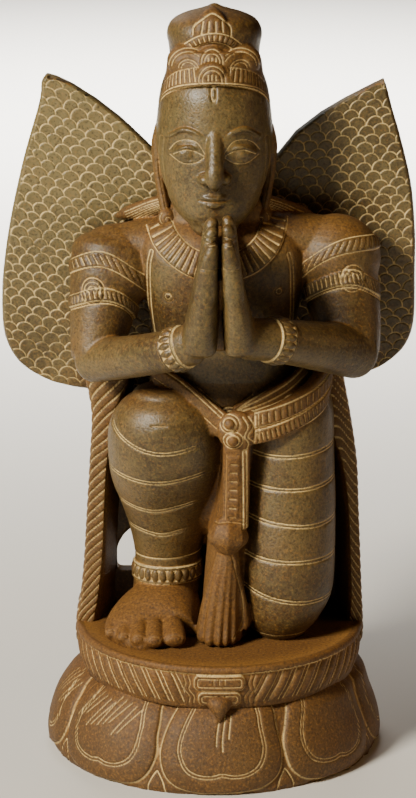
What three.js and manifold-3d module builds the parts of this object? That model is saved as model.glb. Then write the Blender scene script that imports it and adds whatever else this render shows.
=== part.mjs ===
// Garuda figure: a winged bird-man kneeling on one knee with his palms pressed together.
// Figure, wings, feathered mantle, platform and lotus plinth are carved from one block of stone.
// Millimetres, +Z up, the figure faces -Y, and the origin is the middle of the underside.
import * as THREE from 'three';
import { mergeVertices } from 'three/addons/utils/BufferGeometryUtils.js';
import Module from 'manifold-3d';

const wasm = await Module();
wasm.setup();

// Lotus plinth
const plinthRadius = 103.7; // widest, near the foot
const plinthTopRadius = 85; // under the feather band
const plinthHeight = 52;
const plinthDepthRatio = 0.95; // depth as a share of the width
const petalCount = 8;
const petalRecess = 2.6; // how far the small petals behind lie under the big ones
const petalSwell = 3; // how far each big petal bulges at its middle

// Platform and the feather band around its rim
const platformRadius = 87;
const platformShift = 3; // the platform stands a little towards +X of the plinth
const platformDepthRatio = 0.98;
const bandHeight = 24;
const bandFeathers = 24;
const bandGroove = 1.4;
const floorHeight = plinthHeight + bandHeight;

// Ornament at the front of the band
const cartoucheWidth = 25;
const cartoucheDepth = 6;

// Wings and mantle
const wingThickness = 13;
const wingFront = 23; // from the middle of the figure back to the front of the wings
const wingBevel = 2;
const scaleHeight = 1;
const scalePitch = 12.2; // from scale to scale across a wing
const scaleRise = 20; // from one row of scales to the next
const mantleThickness = 12;
const stripFeathers = 10;
const stripGroove = 1.6;
const lineDepth = 0.965; // girth at an engraved line on the legs, as a share of the girth around it
const bandGirth = 1.1; // girth over an armlet or bracelet, as a share of the arm's
const windowWidth = 40; // arched window in the mantle behind the standing foot
const windowHeight = 30;
const windowSill = 22; // above the platform

// The figure is laid out on a grid of 374 parts from the platform to the tip of the crown.
const figureHeight = 374;
const gridParts = 374;
const part = figureHeight / gridParts;

const stone = new THREE.MeshStandardMaterial({ color: 0x5f5037, roughness: 0.62, metalness: 0 });

// A point of the figure's grid: to the right, back and up from the middle of the platform.
function at([x, y, z]) {
  return new THREE.Vector3(x * part, y * part, floorHeight + z * part);
}

// A closed mesh with its faces turned out, as a solid for joining and cutting.
function solid(geometry) {
  geometry.deleteAttribute('normal');
  geometry.deleteAttribute('uv');
  const closed = mergeVertices(geometry, 1e-4);
  const position = closed.getAttribute('position');
  const index = closed.getIndex();
  const corners = [new THREE.Vector3(), new THREE.Vector3(), new THREE.Vector3()];
  const triangles = [];
  let volume = 0;
  for (let i = 0; i < index.count; i += 3) {
    const [a, b, c] = [index.getX(i), index.getX(i + 1), index.getX(i + 2)];
    if (a === b || b === c || c === a) continue;
    triangles.push([a, b, c]);
    [a, b, c].forEach((vertex, k) => corners[k].fromBufferAttribute(position, vertex));
    volume += corners[0].dot(corners[1].clone().cross(corners[2]));
  }
  const outward = volume > 0 ? triangles : triangles.map(([a, b, c]) => [a, c, b]);
  const mesh = new wasm.Mesh({
    numProp: 3,
    vertProperties: new Float32Array(position.array),
    triVerts: new Uint32Array(outward.flat()),
  });
  return new wasm.Manifold(mesh);
}

// Moves each vertex of a geometry to where place(x, y, z) puts it.
function warp(geometry, place) {
  const position = geometry.getAttribute('position');
  for (let i = 0; i < position.count; i += 1) {
    const moved = place(position.getX(i), position.getY(i), position.getZ(i));
    position.setXYZ(i, moved.x, moved.y, moved.z);
  }
  return geometry;
}

// A rounded form around a spine. Each station is x, y, z, half the width and half the depth on the
// figure's grid. The depth lies along front, as far as the spine allows. power squares the section.
// The sections are square to the spine, or level where axis is up. Their places along the spine are
// rows even steps, or the list places. The ends are domes, or flat where blunt. waist(row) scales
// the section along the spine, and flute(angle) around it. cap is the height of a dome as a share
// of its smaller half width.
function limb(stations, options = {}) {
  const { sides = 12, front = [0, -1, 0], axis, power = 2, domes = 2, blunt = false } = options;
  const { waist = () => 1, flute = () => 1, places, cap = 1 } = options;
  const rows = places ? places.length - 1 : options.rows ?? 6;
  const spine = new THREE.CatmullRomCurve3(stations.map(at), false, 'catmullrom', 0.5);
  const halves = stations.map(([, , , a, b]) => new THREE.Vector3(a * part, b * part, 0));
  const girth = new THREE.CatmullRomCurve3(halves, false, 'catmullrom', 0.5);
  const total = rows + 2 * domes;
  const ball = new THREE.SphereGeometry(1, sides, total);
  const position = ball.getAttribute('position');
  for (let row = 0; row <= total; row += 1) {
    const step = THREE.MathUtils.clamp(row - domes, 0, rows);
    const t = places ? places[step] : step / rows;
    const middle = spine.getPoint(t);
    const along = axis ? new THREE.Vector3(...axis) : spine.getTangent(t);
    const half = girth.getPoint(t).multiplyScalar(waist(step));
    const side = along.clone().cross(new THREE.Vector3(...front)).normalize();
    const face = side.clone().cross(along).normalize();
    const past = row < domes ? row - domes : Math.max(0, row - domes - rows);
    const lean = (past / domes) * (Math.PI / 2);
    const reach = blunt ? 0 : cap * Math.min(half.x, half.y) * Math.sin(lean);
    middle.addScaledVector(along, reach);
    for (let column = 0; column <= sides; column += 1) {
      const angle = ((column % sides) / sides) * 2 * Math.PI;
      const scale = row === 0 || row === total ? 0 : Math.cos(lean) * flute(angle);
      const x = Math.sign(Math.sin(angle)) * Math.abs(Math.sin(angle)) ** (2 / power);
      const y = Math.sign(Math.cos(angle)) * Math.abs(Math.cos(angle)) ** (2 / power);
      const point = middle.clone();
      point.addScaledVector(side, x * half.x * scale);
      point.addScaledVector(face, y * half.y * scale);
      position.setXYZ(row * (sides + 1) + column, point.x, point.y, point.z);
    }
  }
  return solid(ball);
}

// An egg with its middle and its three half sizes on the figure's grid.
function egg(middle, [a, b, c], sides = 10, rows = 6) {
  const centre = at(middle);
  return solid(warp(new THREE.SphereGeometry(1, sides, rows), (x, y, z) => (
    new THREE.Vector3(centre.x + x * a * part, centre.y - z * b * part, centre.z + y * c * part)
  )));
}

// A ring with a ridged section: place(angle, outward, upward, step) gives its points, where outward
// and upward run from about -1 to 1 over the section and angle is 0 at the front.
function ring(place, steps) {
  const torus = new THREE.TorusGeometry(2, 1, 3, steps);
  return solid(warp(torus, (x, y, z) => {
    const angle = Math.atan2(y, x);
    return place(angle, Math.hypot(x, y) - 2, z, Math.round((angle / (2 * Math.PI)) * steps));
  }));
}

// A limb with raised bands round it, such as bracelets. Each band runs from one share of the spine
// to another.
function banded(stations, bands, options = {}) {
  const edges = bands.flatMap(([from, to]) => [from, from, to, to]);
  const places = [0, ...edges, 1];
  const waist = (step) => (step % 4 === 2 || step % 4 === 3 ? bandGirth : 1);
  return limb(stations, { sides: 10, cap: 0.5, ...options, places, waist, domes: 1 });
}

// A plate in the plane of the wings, from an outline of x and z on the figure's grid.
function plate(outline, front, thickness, bevel, hole) {
  const points = outline.map(([x, z]) => new THREE.Vector2(x * part, z * part));
  const shape = new THREE.Shape(points);
  if (hole) shape.holes.push(hole);
  const slab = new THREE.ExtrudeGeometry(shape, {
    depth: thickness - 2 * bevel,
    bevelEnabled: bevel > 0,
    bevelThickness: bevel,
    bevelSize: bevel,
    bevelOffset: -bevel,
    bevelSegments: 1,
  });
  slab.rotateX(Math.PI / 2);
  slab.translate(0, front + thickness - bevel, floorHeight);
  return solid(slab);
}

function smooth(points, count) {
  const curve = new THREE.SplineCurve(points.map(([x, z]) => new THREE.Vector2(x, z)));
  return curve.getPoints(count).map((point) => [point.x, point.y]);
}

// Eight big petals hang round the plinth with rounded ends, and small ones show between the ends.
function plinth() {
  const topRatio = plinthTopRadius / plinthRadius;
  const heights = [0, 0.12, 0.36, 0.68, 1];
  const profile = heights.map((h) => {
    const bell = 1 - (1 - topRatio) * h ** 1.6 - (h === 0 ? 0.012 : 0);
    return new THREE.Vector2(plinthRadius * bell, h * plinthHeight);
  });
  profile.unshift(new THREE.Vector2(0, 0));
  profile.push(new THREE.Vector2(0, plinthHeight));
  const steps = petalCount * 8;
  const half = Math.PI / petalCount;
  const lathe = new THREE.LatheGeometry(profile, steps);
  return solid(warp(lathe, (x, y, z) => {
    const radius = Math.hypot(x, z);
    const angle = Math.atan2(x, z);
    const nearest = Math.round(angle / (2 * half)) * 2 * half;
    const h = y / plinthHeight;
    const drop = Math.max(0, 0.42 - h) / 0.42;
    const reach = half * Math.sqrt(Math.max(0.04, 1 - drop * drop * 0.97));
    const across = Math.abs(angle - nearest) / reach;
    const swell = petalSwell * Math.max(0, 1 - across ** 3);
    const under = across > 1.02 ? petalRecess : 0;
    const grown = radius > 0 ? radius - petalSwell + swell - under : 0;
    return new THREE.Vector3(grown * Math.sin(angle), -grown * Math.cos(angle) * plinthDepthRatio, y);
  }));
}

// The platform's rim is cut with slanting feathers that sweep away from the front on both sides.
function platform() {
  const outline = [[0, -4], [-5, -4], [-0.5, 3], [0, 19], [-1.5, 24], [0, 24]];
  const profile = outline.map(([inset, z], i) => new THREE.Vector2(
    i === 0 || i === outline.length - 1 ? 0 : platformRadius + inset,
    plinthHeight + (z / 24) * bandHeight,
  ));
  const steps = bandFeathers * 2;
  return solid(warp(new THREE.LatheGeometry(profile, steps), (x, y, z) => {
    const radius = Math.hypot(x, z);
    const flat = Math.atan2(x, z);
    const step = Math.round((flat / (2 * Math.PI)) * steps);
    const cut = radius > platformRadius / 2 && step % 2 ? bandGroove : 0;
    const rise = (y - plinthHeight) / bandHeight;
    const slant = radius > platformRadius / 2 ? 0.09 * Math.sin(flat) * (0.5 - rise) : 0;
    const angle = flat + slant;
    return new THREE.Vector3(
      platformShift + (radius - cut) * Math.sin(angle),
      -(radius - cut) * Math.cos(angle) * platformDepthRatio,
      y,
    );
  }));
}

// Two framed cartouches one above the other at the front of the band, with a leaf tip below.
function cartouches() {
  const front = -platformRadius * platformDepthRatio;
  const tablet = (width, height, middle) => {
    const shape = new THREE.Shape();
    shape.absellipse(0, 0, width / 2, height / 2, 0, 2 * Math.PI);
    const slab = new THREE.ExtrudeGeometry(shape, {
      depth: cartoucheDepth,
      curveSegments: 4,
      bevelThickness: 1,
      bevelSize: 1,
      bevelSegments: 1,
    });
    slab.rotateX(Math.PI / 2);
    slab.translate(platformShift, front + cartoucheDepth - 2, middle);
    return solid(slab);
  };
  const upper = tablet(cartoucheWidth, bandHeight * 0.42, floorHeight - bandHeight * 0.3);
  const lower = tablet(cartoucheWidth * 0.84, bandHeight * 0.4, floorHeight - bandHeight * 0.74);
  const tip = solid(warp(new THREE.ConeGeometry(1, 1, 8, 1), (x, y, z) => new THREE.Vector3(
    platformShift + x * cartoucheWidth * 0.28,
    front + cartoucheDepth * 0.5 + z * cartoucheDepth,
    plinthHeight - bandHeight * 0.05 - y * bandHeight * 0.55,
  )));
  return [upper, lower, tip];
}

const leftWing = [
  [0, 259], [-34.7, 283],
  ...smooth([[-44.7, 293], [-55.3, 303], [-69.4, 314], [-83.4, 323], [-93, 327.6]], 5),
  [-98.5, 329], [-101.5, 325],
  ...smooth([[-102.5, 315], [-104.3, 308.5], [-113.2, 278.6], [-121.6, 242.3], [-126.5, 210.5],
    [-127.6, 185], [-125.4, 168.5], [-118, 155], [-105.4, 145.8], [-87.9, 139.5], [-69.7, 137]], 12),
  [-30, 137], [0, 139],
];

const rightWing = [
  [0, 139], [40, 146], [77.5, 147.2],
  ...smooth([[88.4, 147.7], [96.9, 149.9], [105.9, 155.2], [114.2, 163.4], [118.9, 173.4], [120.6, 186],
    [120.4, 210], [120, 235], [117, 264.2], [109.9, 293], [105.5, 307.4]], 12),
  [101.9, 320.4], [99.9, 326],
  ...smooth([[91.1, 321.8], [77, 314.5], [63, 306.2], [48.3, 294.8]], 4),
  [36.5, 280], [0, 259],
];

// Rows of overlapping scales on the front of a wing, inside its outline by a plain margin. Each row
// rises to its scalloped upper edge and drops there to the foot of the next.
function scales(outline, side) {
  const near = 21 * part;
  const low = 142 * part;
  const columns = Math.ceil((98 * part) / scalePitch);
  const tiers = Math.ceil((180 * part) / scaleRise);
  const rows = tiers * 2;
  const scallop = scaleRise * 0.3;
  const sheet = new THREE.BoxGeometry(1, 1, 1, columns, 1, rows);
  const field = solid(warp(sheet, (x, y, z) => {
    const column = Math.round((x + 0.5) * columns);
    const row = Math.round((z + 0.5) * rows);
    const tier = Math.floor(row / 2);
    const crest = row % 2 === 1;
    const lift = (column + tier) % 2 ? scallop : 0;
    const height = (tier + (crest ? 1 : 0.12)) * scaleRise + lift;
    return new THREE.Vector3(
      side * (near + column * scalePitch),
      y > 0 ? wingFront - scaleHeight * (crest ? 1 : 0.15) : wingFront + wingThickness / 2,
      floorHeight + low + height,
    );
  }));
  const margin = outline.map(([x, z]) => {
    const inward = new THREE.Vector2(side * 70 - x, 225 - z).normalize().multiplyScalar(4);
    return [x + inward.x, z + inward.y];
  });
  return field.intersect(plate(margin, wingFront - 4, wingThickness, 0));
}

// The mantle falls behind the body from the wings to the platform, with a small window behind the foot.
function mantle() {
  const arch = new THREE.Path();
  const left = -60 * part;
  const right = left + windowWidth;
  const spring = windowSill + windowHeight - windowWidth / 2;
  arch.moveTo(left, windowSill);
  arch.lineTo(right, windowSill);
  arch.lineTo(right, spring);
  arch.absarc(left + windowWidth / 2, spring, windowWidth / 2, 0, Math.PI, false);
  const foot = platformRadius * 0.83 / part;
  const outline = [
    [-foot + platformShift / part, -6], [foot + platformShift / part, -6],
    [84, 30], [82, 90], [77, 130], [60, 175], [30, 262], [-24, 262], [-55, 175], [-68, 130],
    [-66, 90], [-71, 30],
  ];
  return plate(outline, wingFront + 1, mantleThickness, 0, arch);
}

// One feathered strip of the mantle: it climbs from the rim of the platform to the wing above.
// Each level gives the height, the outer and inner edge in front, and the inner edge behind.
function strip(levels, side) {
  const path = (index) => new THREE.SplineCurve(levels.map((level) => (
    new THREE.Vector2(level[index], level[0])
  )));
  const edges = [path(1), path(2), path(3)];
  const rows = stripFeathers * 2;
  const front = -6;
  const back = wingFront / part + 6;
  return solid(warp(new THREE.BoxGeometry(1, 1, 1, 1, 1, rows), (x, y, z) => {
    const t = z + 0.5;
    const row = Math.round(t * rows);
    const inner = x > 0;
    const edge = (inner ? edges[y < 0 ? 1 : 2] : edges[0]).getPoint(t);
    const cut = row % 2 ? stripGroove : 0;
    const out = inner ? 0 : side * (row % 2 ? -0.8 : 0.5);
    const slant = !inner && y < 0 && row > 0 && row < rows ? -5 : 0;
    const foot = row === 0 ? side * (platformRadius - 87) : 0;
    const point = at([edge.x + out, y < 0 ? front : back, edge.y + slant]);
    point.x += foot;
    point.y += y < 0 ? cut : 0;
    return point;
  }));
}

const leftStrip = [
  [-8, -83.5, -72, -62], [12, -81.5, -69.5, -60], [40, -79, -66.5, -59], [70, -77, -65, -57],
  [100, -75, -64.5, -56], [130, -73.5, -65.5, -56], [152, -77, -66, -56],
];
const rightStrip = [
  [-8, 90, 81, 74], [12, 90.3, 82.5, 74], [40, 89, 81.5, 74], [70, 87.5, 80, 72],
  [100, 86, 77.5, 70], [130, 81, 69.5, 62], [156, 76, 62, 55],
];

// Engraved lines cross the cloth on both legs: the section dips at each of the heights. An anklet
// stands out between two more heights.
function lined(stations, heights, sides, anklet = []) {
  const low = stations[0][2];
  const high = stations[stations.length - 1][2];
  const rise = (t) => {
    const place = t * (stations.length - 1);
    const lower = Math.min(Math.floor(place), stations.length - 2);
    return THREE.MathUtils.lerp(stations[lower][2], stations[lower + 1][2], place - lower);
  };
  const find = (height) => {
    let t = (height - low) / (high - low);
    for (let i = 0; i < 20; i += 1) t += (height - rise(t)) / (high - low) / 2;
    return t;
  };
  const tops = [...heights.slice(1), high];
  const levels = [
    [low, 1],
    ...anklet.flatMap((height, i) => (i ? [[height, 1.07], [height, 1]] : [[height, 1], [height, 1.07]])),
    ...heights.flatMap((height, i) => [[height, lineDepth], [(height + tops[i]) / 2, 1]]),
    [high, 1],
  ];
  return limb(stations, {
    sides, axis: [0, 0, 1], cap: 0.3, domes: 1,
    places: levels.map(([height]) => find(height)),
    waist: (step) => levels[step][1],
  });
}

function raisedLeg() {
  const shin = lined([
    [-29, 4, 18, 20.5, 19], [-28, 2, 40, 20, 18.5], [-27.5, -3, 58, 23, 21], [-27.5, -8, 75, 27.5, 25],
    [-28.5, -15, 94, 32.5, 29.5], [-28.5, -20, 112, 34.5, 32], [-29, -23, 130, 33, 31.5],
    [-29, -24, 142, 27, 27], [-29, -24, 149, 19, 19],
  ], [45, 60, 78, 100, 124], 12, [27, 37]);
  const thigh = limb([[-29, -18, 122, 30, 26], [-22, 0, 120, 30, 27], [-12, 14, 116, 30, 28]], {
    front: [0, 0, 1], sides: 10, rows: 2, domes: 1,
  });
  return [shin, thigh];
}

function foot() {
  const sole = limb([
    [-25, 22, 11, 13, 11], [-28, 6, 14, 19, 14], [-34, -8, 12, 25, 12], [-38, -22, 8, 28, 8.5],
    [-40, -33, 5, 26, 5.5],
  ], { front: [0, 0, 1], sides: 10, rows: 4, domes: 1, power: 2.4 });
  const toes = [[-26, -46, 7.4, 7], [-37.5, -46, 5, 5.4], [-45.5, -44, 4.6, 5], [-53, -41, 4.4, 4.8],
    [-60, -36, 4.4, 4.6]];
  return [sole, ...toes.map(([x, tip, a, b]) => egg([x, tip + 10, b], [a, 12, b], 6, 3))];
}

function kneelingLeg() {
  const thigh = lined([
    [40, -21, 8, 21, 24], [42, -21, 22, 27.5, 27.5], [43, -20, 38, 29, 29], [43.5, -18, 60, 29, 29.5],
    [44, -15, 84, 28.5, 29.5], [44, -12, 110, 27.5, 30], [42, -9, 134, 29, 32], [38, -6, 150, 30, 30],
  ], [16, 34, 60, 86, 110], 12);
  const shin = limb([[42, -10, 17, 20, 18], [38, 16, 15, 17, 15]], {
    front: [0, 0, 1], sides: 8, rows: 1, domes: 1, cap: 0.8,
  });
  return [thigh, shin];
}

function torso() {
  const body = limb([
    [8, 2, 84, 46, 30], [8, 0, 116, 50, 32], [8, -2, 138, 50, 33], [7, -3, 160, 43, 29],
    [6, -4, 180, 42, 29], [5, -4, 204, 46, 33], [4, -3, 226, 50, 35], [3, -1, 240, 48, 31],
    [2, 1, 250, 32, 23],
  ], { sides: 14, rows: 7, domes: 1, axis: [0, 0, 1], power: 2.3 });
  const seat = egg([10, 12, 88], [52, 26, 46]);
  const between = limb([[8, -14, 4, 18, 26], [9, -18, 70, 16, 24], [10, -20, 118, 18, 24]], {
    sides: 6, rows: 2, domes: 1,
  });
  const shoulders = [egg([-58, -2, 220], [27, 24, 25]), egg([71, -1, 225], [27, 25, 26])];
  const girdle = limb([[-60, -1, 228, 17, 15], [3, 1, 238, 20, 13], [72, 0, 233, 17, 16]], {
    front: [0, 0, 1], sides: 10, rows: 3, domes: 1,
  });
  const neck = limb([[1, -4, 238, 20, 18], [0, -6, 262, 18, 18]], { rows: 1, domes: 1 });
  const web = limb([[3, -40, 190, 8, 26], [3, -46, 246, 6, 28]], { sides: 6, rows: 1, domes: 1 });
  return [body, seat, between, ...shoulders, girdle, neck, web];
}

// Each upper arm wears a strap and an armlet, each wrist a bracelet.
function arms() {
  const upper = [[0.16, 0.3], [0.44, 0.66]];
  const wrist = [[0.7, 0.82]];
  const up = { front: [0, 0, 1] };
  return [
    banded([[-60, -2, 228, 24, 22], [-63, -6, 210, 22, 21], [-67, -13, 188, 18, 18.5],
      [-70, -20, 171, 14.5, 15]], upper),
    banded([[-70.5, -20, 168, 13.5, 13.5], [-48, -44, 176, 12.5, 12.3], [-25, -65, 185, 13, 12.8],
      [-12, -74, 192, 11, 12]], wrist, up),
    banded([[72, -2, 231, 25, 23], [74, -6, 211, 22.5, 21], [78, -13, 189, 20, 19],
      [81, -20, 174, 16.5, 16.5]], upper),
    banded([[82, -20, 173, 16.5, 16], [60, -43, 182, 14.5, 14.3], [34, -65, 191, 12.5, 12.8],
      [18, -74, 195, 11, 12]], wrist, up),
  ];
}

// The fingers of each hand lie side by side from front to back, parted by shallow grooves.
function hands() {
  const fingers = (angle) => 1 - 0.1 * (Math.abs(Math.sin(3 * angle)) > 0.5 ? 1 : 0);
  const palms = [
    [[-8, -74, 192, 11, 14], [-6.8, -76, 206, 10, 16], [-5, -77, 219, 8.2, 16.5], [-4, -78, 240, 6.6, 15.5],
      [-1.9, -78, 260, 4.2, 11]],
    [[13.5, -74, 192, 10, 14], [12.4, -76, 206, 8.6, 16], [10, -77, 219, 7, 16.5], [8.3, -78, 240, 5.6, 15.5],
      [7.2, -78, 260, 3.8, 11]],
  ];
  const thumbs = [[-6, -1], [11, 1]].map(([x, side]) => (
    limb([[x, -64, 200, 5, 6], [x - side, -59, 238, 3.5, 4]], { sides: 6, rows: 1, domes: 1 })
  ));
  const flat = palms.map((stations) => (
    limb(stations, { sides: 10, rows: 5, domes: 1, flute: fingers })
  ));
  return [...flat, ...thumbs];
}

// A calm, regular face: brows, nose base and chin stand a third of the face apart.
function head() {
  const skull = limb([
    [0, -27, 251, 11, 12], [0, -21, 259, 20, 22.5], [0, -15.5, 270, 26, 28], [0, -11, 284, 31, 32.5],
    [0, -8, 298, 33.5, 35.5], [0, -6, 312, 33, 36.5], [0, -5, 326, 31, 35.5], [0, -3, 338, 27, 31],
  ], { sides: 14, rows: 7, domes: 1, cap: 0.6, axis: [0, 0, 1] });
  const nose = limb([
    [0, -41, 304, 3.4, 4], [0, -45, 294, 3.8, 4.5], [0, -50, 284, 5, 5.5], [0, -54, 277, 4.4, 4.2],
    [0, -54, 272, 1.8, 1.8],
  ], { sides: 6, rows: 5, domes: 1 });
  const features = [-1, 1].flatMap((side) => [
    egg([side * 14.5, -36.5, 292], [8.2, 5.2, 4.2], 8, 4),
    limb([
      [side * 4, -42, 301, 1.8, 1.8], [side * 14, -41.5, 305, 1.8, 1.8],
      [side * 26, -32, 300, 1.5, 1.5],
    ], { front: [0, 0, 1], sides: 4, rows: 3, domes: 1 }),
    egg([side * 5.2, -44, 277.5], [3.4, 5, 3], 6, 3),
  ]);
  const lips = [[265.8, 10, -42.5, 1.7], [262, 8, -41.5, 2.1]].map(([z, wide, y, r]) => limb([
    [-wide, y + 4, z + 0.6, r * 0.6, r], [0, y, z, r, r * 2], [wide, y + 4, z + 0.6, r * 0.6, r],
  ], { sides: 5, rows: 2, domes: 1 }));
  const chin = egg([0, -34, 253.5], [9, 8, 6.5], 8, 4);
  const ears = [-1, 1].flatMap((side) => [
    limb([[side * 31.5, 0, 300, 4, 8], [side * 32.5, -1, 284, 4, 7], [side * 29.5, -3, 266, 4, 5.5]], {
      sides: 6, rows: 2, domes: 1,
    }),
    egg([side * 28, -8, 254], [6.5, 6.5, 8.5], 6, 4),
  ]);
  return [skull, nose, ...features, ...lips, chin, ...ears];
}

function crown() {
  const profile = [[0, 318], [29, 318], [30, 330], [25.8, 340], [27, 360], [24, 367], [4.6, 373],
    [0, 374]];
  const drum = new THREE.LatheGeometry(profile.map(([r, z]) => new THREE.Vector2(r, z)), 16);
  const tiers = solid(warp(drum, (x, y, z) => at([x, -z, y])));
  const diadem = ring((angle, outward, upward, step) => {
    const front = Math.cos(angle);
    const rise = (upward + 1) / 2;
    const grow = outward * 2 + (step % 2 ? 0.8 : 0);
    const a = 30.5 - 4.5 * rise + grow;
    const b = 36 - 5 * rise + grow;
    return at([a * Math.sin(angle), -4 - b * front, 326.5 + 6 * front + rise * 13]);
  }, 18);
  const leaves = [[-15, 345.5], [14.5, 345.5]].map(([x, z]) => egg([x, -20, z], [10.5, 9, 8], 8, 4));
  const medallions = [[-1.5, -38, 339, 8.2, 5.5], [-1.5, -26, 347.5, 6.8, 5.2]].map(([x, y, z, a, c]) => (
    egg([x, y, z], [a, 5, c], 8, 4)
  ));
  const arc = limb([[-16, -22, 353, 2, 2.4], [-9, -27, 357, 2.4, 2.6], [-1, -29.5, 359, 2.6, 2.6],
    [7, -28, 357.5, 2.4, 2.6], [14, -23, 353, 2, 2.4]], { front: [0, 0, 1], sides: 4, rows: 6, domes: 1 });
  const panel = limb([[-1.5, -22, 357, 11, 6], [-1.5, -23, 364, 10, 5], [-1.3, -18, 369, 6.5, 4.5],
    [-1, -9, 371.6, 2, 2]], { sides: 8, rows: 3, domes: 1 });
  return [tiers, diadem, ...leaves, ...medallions, arc, panel];
}

function ornaments() {
  const collar = ring((angle, outward, upward, step) => {
    const front = Math.cos(angle);
    const out = (outward + 1) / 2;
    const lift = 2.5 + upward * 2.5 + (step % 2 ? 0.8 : 0);
    const a = 21 + 15 * out;
    const b = 22 + 14 * out;
    const height = 248 - 2 * out - (10 + 6 * out) * front + lift;
    return at([2 + a * Math.sin(angle), -5 - b * front - lift * 0.8, height]);
  }, 18);
  const ribs = (row) => (row % 2 ? 1 : 0.87);
  const belt = limb([
    [2, -43, 134, 4, 9], [18, -45, 132, 4, 9], [36, -43, 135, 4, 9.5], [52, -35, 144, 4, 10],
    [62, -23, 153, 4, 10], [65, -6, 160, 4, 10], [61, 10, 163, 4, 10],
  ], { front: [0, 0, 1], sides: 6, rows: 8, domes: 1, blunt: true, power: 3, waist: ribs });
  const clasp = egg([13, -46, 132.5], [11, 7, 11], 10, 4);
  const sash = limb([[13, -45, 124, 7.5, 6], [12.5, -42, 100, 7.5, 7], [12, -44, 74, 7.5, 7]], {
    sides: 6, rows: 7, domes: 1, blunt: true, power: 3, waist: ribs,
  });
  const tassel = egg([9, -46, 65.5], [12, 10, 11.5], 8, 4);
  const folds = (angle) => 1 + 0.09 * Math.cos(8 * angle);
  const cloth = limb([
    [9, -38, 58, 6, 8], [8, -37, 38, 9, 11], [6.5, -36, 18, 12.5, 14], [6.5, -36, 4, 14, 18],
  ], { sides: 16, rows: 3, domes: 1, flute: folds });
  return [collar, belt, clasp, sash, tassel, cloth];
}

// Everything is one stone, so the forms are joined into one solid and its underside is cut flat.
function carving() {
  const forms = [
    plinth(), platform(), ...cartouches(), mantle(),
    plate(leftWing, wingFront, wingThickness, wingBevel),
    plate(rightWing, wingFront, wingThickness, wingBevel),
    scales(leftWing, -1), scales(rightWing, 1),
    strip(leftStrip, -1), strip(rightStrip, 1),
    ...torso(), ...kneelingLeg(), ...raisedLeg(), ...foot(),
    ...arms(), ...hands(), ...head(), ...crown(), ...ornaments(),
  ];
  return forms.reduce((whole, form) => whole.add(form));
}

const { vertProperties, triVerts } = carving().getMesh();
const geometry = new THREE.BufferGeometry();
geometry.setAttribute('position', new THREE.BufferAttribute(vertProperties, 3));
geometry.setIndex(new THREE.BufferAttribute(triVerts, 1));
const figure = new THREE.Mesh(geometry, stone);
figure.name = 'garuda_figure';

const garuda = new THREE.Group();
garuda.add(figure);

export default garuda;
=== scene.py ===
"""Garuda figure carved from one block of dark stone: the finish, the engraving and the finer relief.

The carving is made in eleven closed skins that ride on the one body and stand for the CAD solid.
Every length is in millimetres of the design until a piece is finished. The figure faces -Y, and its
own grid starts at the middle of the platform's top, as in the CAD source."""
import math

import bmesh
import bpy
import numpy as np
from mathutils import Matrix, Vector
from mathutils.bvhtree import BVHTree


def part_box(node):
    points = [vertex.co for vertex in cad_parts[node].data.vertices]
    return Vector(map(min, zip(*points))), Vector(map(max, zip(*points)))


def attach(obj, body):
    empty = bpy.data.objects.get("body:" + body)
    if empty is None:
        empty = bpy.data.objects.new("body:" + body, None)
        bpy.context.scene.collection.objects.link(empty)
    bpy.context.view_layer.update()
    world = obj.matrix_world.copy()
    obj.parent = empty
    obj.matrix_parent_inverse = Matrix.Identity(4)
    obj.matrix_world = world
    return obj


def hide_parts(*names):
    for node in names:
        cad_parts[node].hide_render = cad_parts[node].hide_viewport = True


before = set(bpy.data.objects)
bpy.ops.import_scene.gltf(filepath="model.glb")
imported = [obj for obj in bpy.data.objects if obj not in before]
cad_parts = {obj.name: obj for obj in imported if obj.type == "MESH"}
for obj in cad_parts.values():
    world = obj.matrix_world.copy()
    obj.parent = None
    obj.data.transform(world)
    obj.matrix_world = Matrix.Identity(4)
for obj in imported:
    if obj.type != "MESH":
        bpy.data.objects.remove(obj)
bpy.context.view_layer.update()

# Driving sizes of the design
HEIGHT = 450.0
PLINTH_HEIGHT = 52.0
PLINTH_RADIUS = 103.7
PLINTH_TOP_RADIUS = 85.0
PLINTH_DEPTH_RATIO = 0.95
PETALS = 8
PLATFORM_RADIUS = 87.0
PLATFORM_SHIFT = 3.0
PLATFORM_DEPTH_RATIO = 0.98
BAND_HEIGHT = 24.0
FLOOR = PLINTH_HEIGHT + BAND_HEIGHT
WING_FRONT = 23.0
WING_THICKNESS = 13.0
MANTLE_FRONT = 24.0
MANTLE_BACK = 34.6

# Tool marks: the width and depth of an engraved line, and the gap in a double one
LINE = 1.0
LINE_DEPTH = 0.75
DOUBLE = 1.9
# How far from a line a point is said to be where nothing may be engraved
AWAY = 99.0

# How often a new skin's creases are softened
SOFTENINGS = 2

# The rays that feel how open the stone is: their number, how far outside the skin they start, how far
# they reach, and at how many points of a piece they are sent out
RAYS = 20
RAY_START = 3.0
RAY_REACH = 90.0
RAY_POINTS = 6000

low_corner, high_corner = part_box("garuda_figure")
MM = (high_corner.z - low_corner.z) / HEIGHT


# Curves and forms
def spline(points):
    """A smooth curve through the points, as a function of an array from 0 to 1."""
    points = np.asarray(points, float)
    ends = (2 * points[0] - points[1], 2 * points[-1] - points[-2])
    padded = np.vstack([ends[0], points, ends[1]])
    last = len(points) - 1

    def place(t):
        along = np.clip(np.atleast_1d(t), 0, 1) * last
        step = np.minimum(along.astype(int), last - 1)
        u = (along - step)[:, None]
        a, b, c, d = (padded[step + k] for k in range(4))
        leave = (c - a) / 2
        arrive = (d - b) / 2
        cubic = 2 * b - 2 * c + leave + arrive
        square = 3 * c - 3 * b - 2 * leave - arrive
        return ((cubic * u + square) * u + leave) * u + b

    return place


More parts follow.
